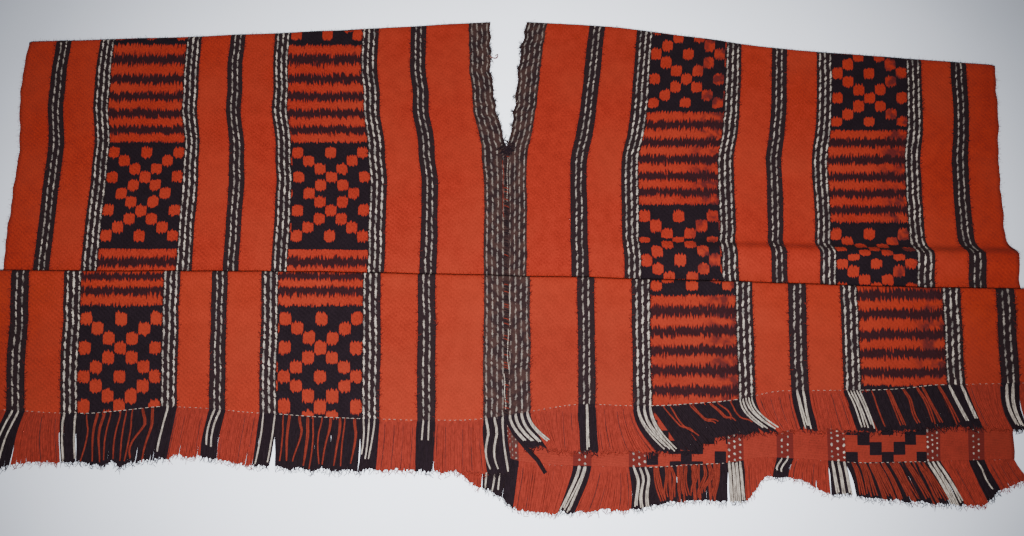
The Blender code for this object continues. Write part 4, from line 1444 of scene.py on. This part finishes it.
class PONCHO_OT_sewing(bpy.types.Operator):
    """Sews the hems and the middle seam, and darns the foot of the neck slit"""

    bl_idname = "poncho.sewing"
    bl_label = "Sewing"
    bl_options = {"REGISTER", "UNDO"}

    def execute(self, context):
        shades = yarns(context.scene.poncho_cloth)
        chance = random.Random(41)
        hems = [
            strand
            for _, lay, side in SIDES
            for layer in ("front", "back")
            for strand in hem_stitches(lay, side, layer, chance)
        ]
        for name, strands, thickness in (
            ("hem_stitches", hems, HEM_YARN),
            ("middle_seam", seam_stitches(chance), SEWING_YARN),
            ("slit_darning", slit_darning(chance), SEWING_YARN),
        ):
            piece = spin_yarns(name, strands, thickness, 6, shades)
            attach(piece, "root")
        return {"FINISHED"}


class PONCHO_OT_nap(bpy.types.Operator):
    """Raises loose fibres along the edges and folds"""

    bl_idname = "poncho.nap"
    bl_label = "Loose Fibres"
    bl_options = {"REGISTER", "UNDO"}

    def execute(self, context):
        settings = context.scene.poncho_fringe
        shades = yarns(context.scene.poncho_cloth)
        strands = edge_hairs(settings.fibres, random.Random(7))
        pieces = [spin_yarns("loose_fibres", strands, FIBRE, 4, shades)]
        for name, lay, side in SIDES:
            strands = crossing_hairs(lay, side, settings.blur, random.Random(name))
            pieces.append(spin_yarns(f"{name}_nap_fibres", strands, FIBRE, 4, shades))
        for piece in pieces:
            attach(piece, "root")
        return {"FINISHED"}


class PONCHO_OT_stage(bpy.types.Operator):
    """Sets the sheet below, the light and the camera"""

    bl_idname = "poncho.stage"
    bl_label = "Stage"
    bl_options = {"REGISTER", "UNDO"}

    def execute(self, context):
        settings = context.scene.poncho_stage
        bm = bmesh.new()
        bmesh.ops.create_grid(bm, x_segments=2, y_segments=2, size=3.0)
        mesh = bpy.data.meshes.new("floor")
        bm.to_mesh(mesh)
        bm.free()
        floor = add_object("floor", mesh)
        material, put = new_material("washed_cotton_sheet")
        # Painted light: it glows to pure white under the lamp and its colour darkens to the corners, painted
        # as a lamp beside the lens would light it
        at = put("TexCoord", outlet=3)
        stretched = put("VectorMath MULTIPLY", at, (1.0, 1.1, 1.0))
        from_lamp = put("VectorMath DISTANCE", stretched, (0.0, 0.03, 0.0))
        # Painted shade of soft folds, which the flat sheet does not have
        folds = put("TexNoise", at, 4.0, 3.0)
        shade = put("MapRange", folds, 0.3, 0.7, 0.94, 1.0)
        shade = put("Math MULTIPLY", shade, put("MapRange", from_lamp, 0.35, 0.85, 1.0, 0.45))
        colour = put("VectorMath SCALE", linear(settings.sheet)[:3], shade)
        glow = put("Math POWER", put("MapRange", from_lamp, 0.2, 0.75, 1.0, 0.0), 1.4)
        # Past the lamp's reach, outside the photograph's frame, the sheet stays a plain pale grey
        # This pale grey is painted light: the sheet glows there
        beyond = put("MapRange", from_lamp, 0.85, 1.05, 0.0, 0.38)
        glow = put("Math MULTIPLY_ADD", glow, settings.glow, beyond)
        finish_shader(material, {"Base Color": colour, "Emission Strength": glow}, {
            "Emission Color": (0.93, 0.95, 1.0, 1.0), "Roughness": 0.9, "Specular IOR Level": 0.2,
        })
        mesh.materials.append(material)

        # One lamp beside the camera, whose light falls off to the corners
        lens = (0.0, -0.4685, 1.2075)
        flash = bpy.data.lights.new("flash", "SPOT")
        flash.shadow_soft_size = 0.09
        flash.spot_size = math.radians(84)
        flash.spot_blend = 1.0
        flash.energy = settings.flash
        flash.color = (0.98, 0.98, 1.0)
        lamp = add_object("flash", flash)
        lamp.location = (lens[0], lens[1] - 0.20, lens[2])
        lamp.rotation_euler = (Vector((-0.03, 0.03, 0)) - lamp.location).to_track_quat("-Z", "Y").to_euler()
        world = bpy.data.worlds.new("room")
        world.use_nodes = True
        background = world.node_tree.nodes["Background"]
        background.inputs["Color"].default_value = (0.85, 0.92, 1.0, 1.0)
        background.inputs["Strength"].default_value = 0.30
        context.scene.world = world

        camera = bpy.data.cameras.new("camera")
        camera.lens = 35.0
        camera.sensor_width = 36.0
        camera.clip_start = 0.05
        holder = add_object("camera", camera)
        holder.location = lens
        holder.rotation_euler = (math.radians(20), 0.0, 0.0)
        context.scene.camera = holder
        return {"FINISHED"}


class PONCHO_PT_panel(bpy.types.Panel):
    """Lists the poncho's pieces and their settings"""

    bl_idname = "PONCHO_PT_panel"
    bl_label = "Wool Poncho"
    bl_space_type = "VIEW_3D"
    bl_region_type = "UI"
    bl_category = "Poncho"

    def draw(self, context):
        layout = self.layout
        for group, settings in (
            ("poncho_cloth", ClothSettings),
            ("poncho_fringe", FringeSettings),
            ("poncho_stage", StageSettings),
        ):
            box = layout.box()
            for name in settings.__annotations__:
                box.prop(getattr(context.scene, group), name)
        for operator in OPERATORS:
            layout.operator(operator.bl_idname)


OPERATORS = (PONCHO_OT_cloth, PONCHO_OT_fringe, PONCHO_OT_sewing, PONCHO_OT_nap, PONCHO_OT_stage)
CLASSES = (ClothSettings, FringeSettings, StageSettings, *OPERATORS, PONCHO_PT_panel)


def register():
    for each in CLASSES:
        bpy.utils.register_class(each)
    bpy.types.Scene.poncho_cloth = bpy.props.PointerProperty(type=ClothSettings)
    bpy.types.Scene.poncho_fringe = bpy.props.PointerProperty(type=FringeSettings)
    bpy.types.Scene.poncho_stage = bpy.props.PointerProperty(type=StageSettings)


def unregister():
    del bpy.types.Scene.poncho_stage
    del bpy.types.Scene.poncho_fringe
    del bpy.types.Scene.poncho_cloth
    for each in reversed(CLASSES):
        bpy.utils.unregister_class(each)


def main():
    register()
    bpy.ops.poncho.cloth()
    bpy.ops.poncho.fringe()
    bpy.ops.poncho.sewing()
    bpy.ops.poncho.nap()
    bpy.ops.poncho.stage()


if __name__ == "__main__":
    main()
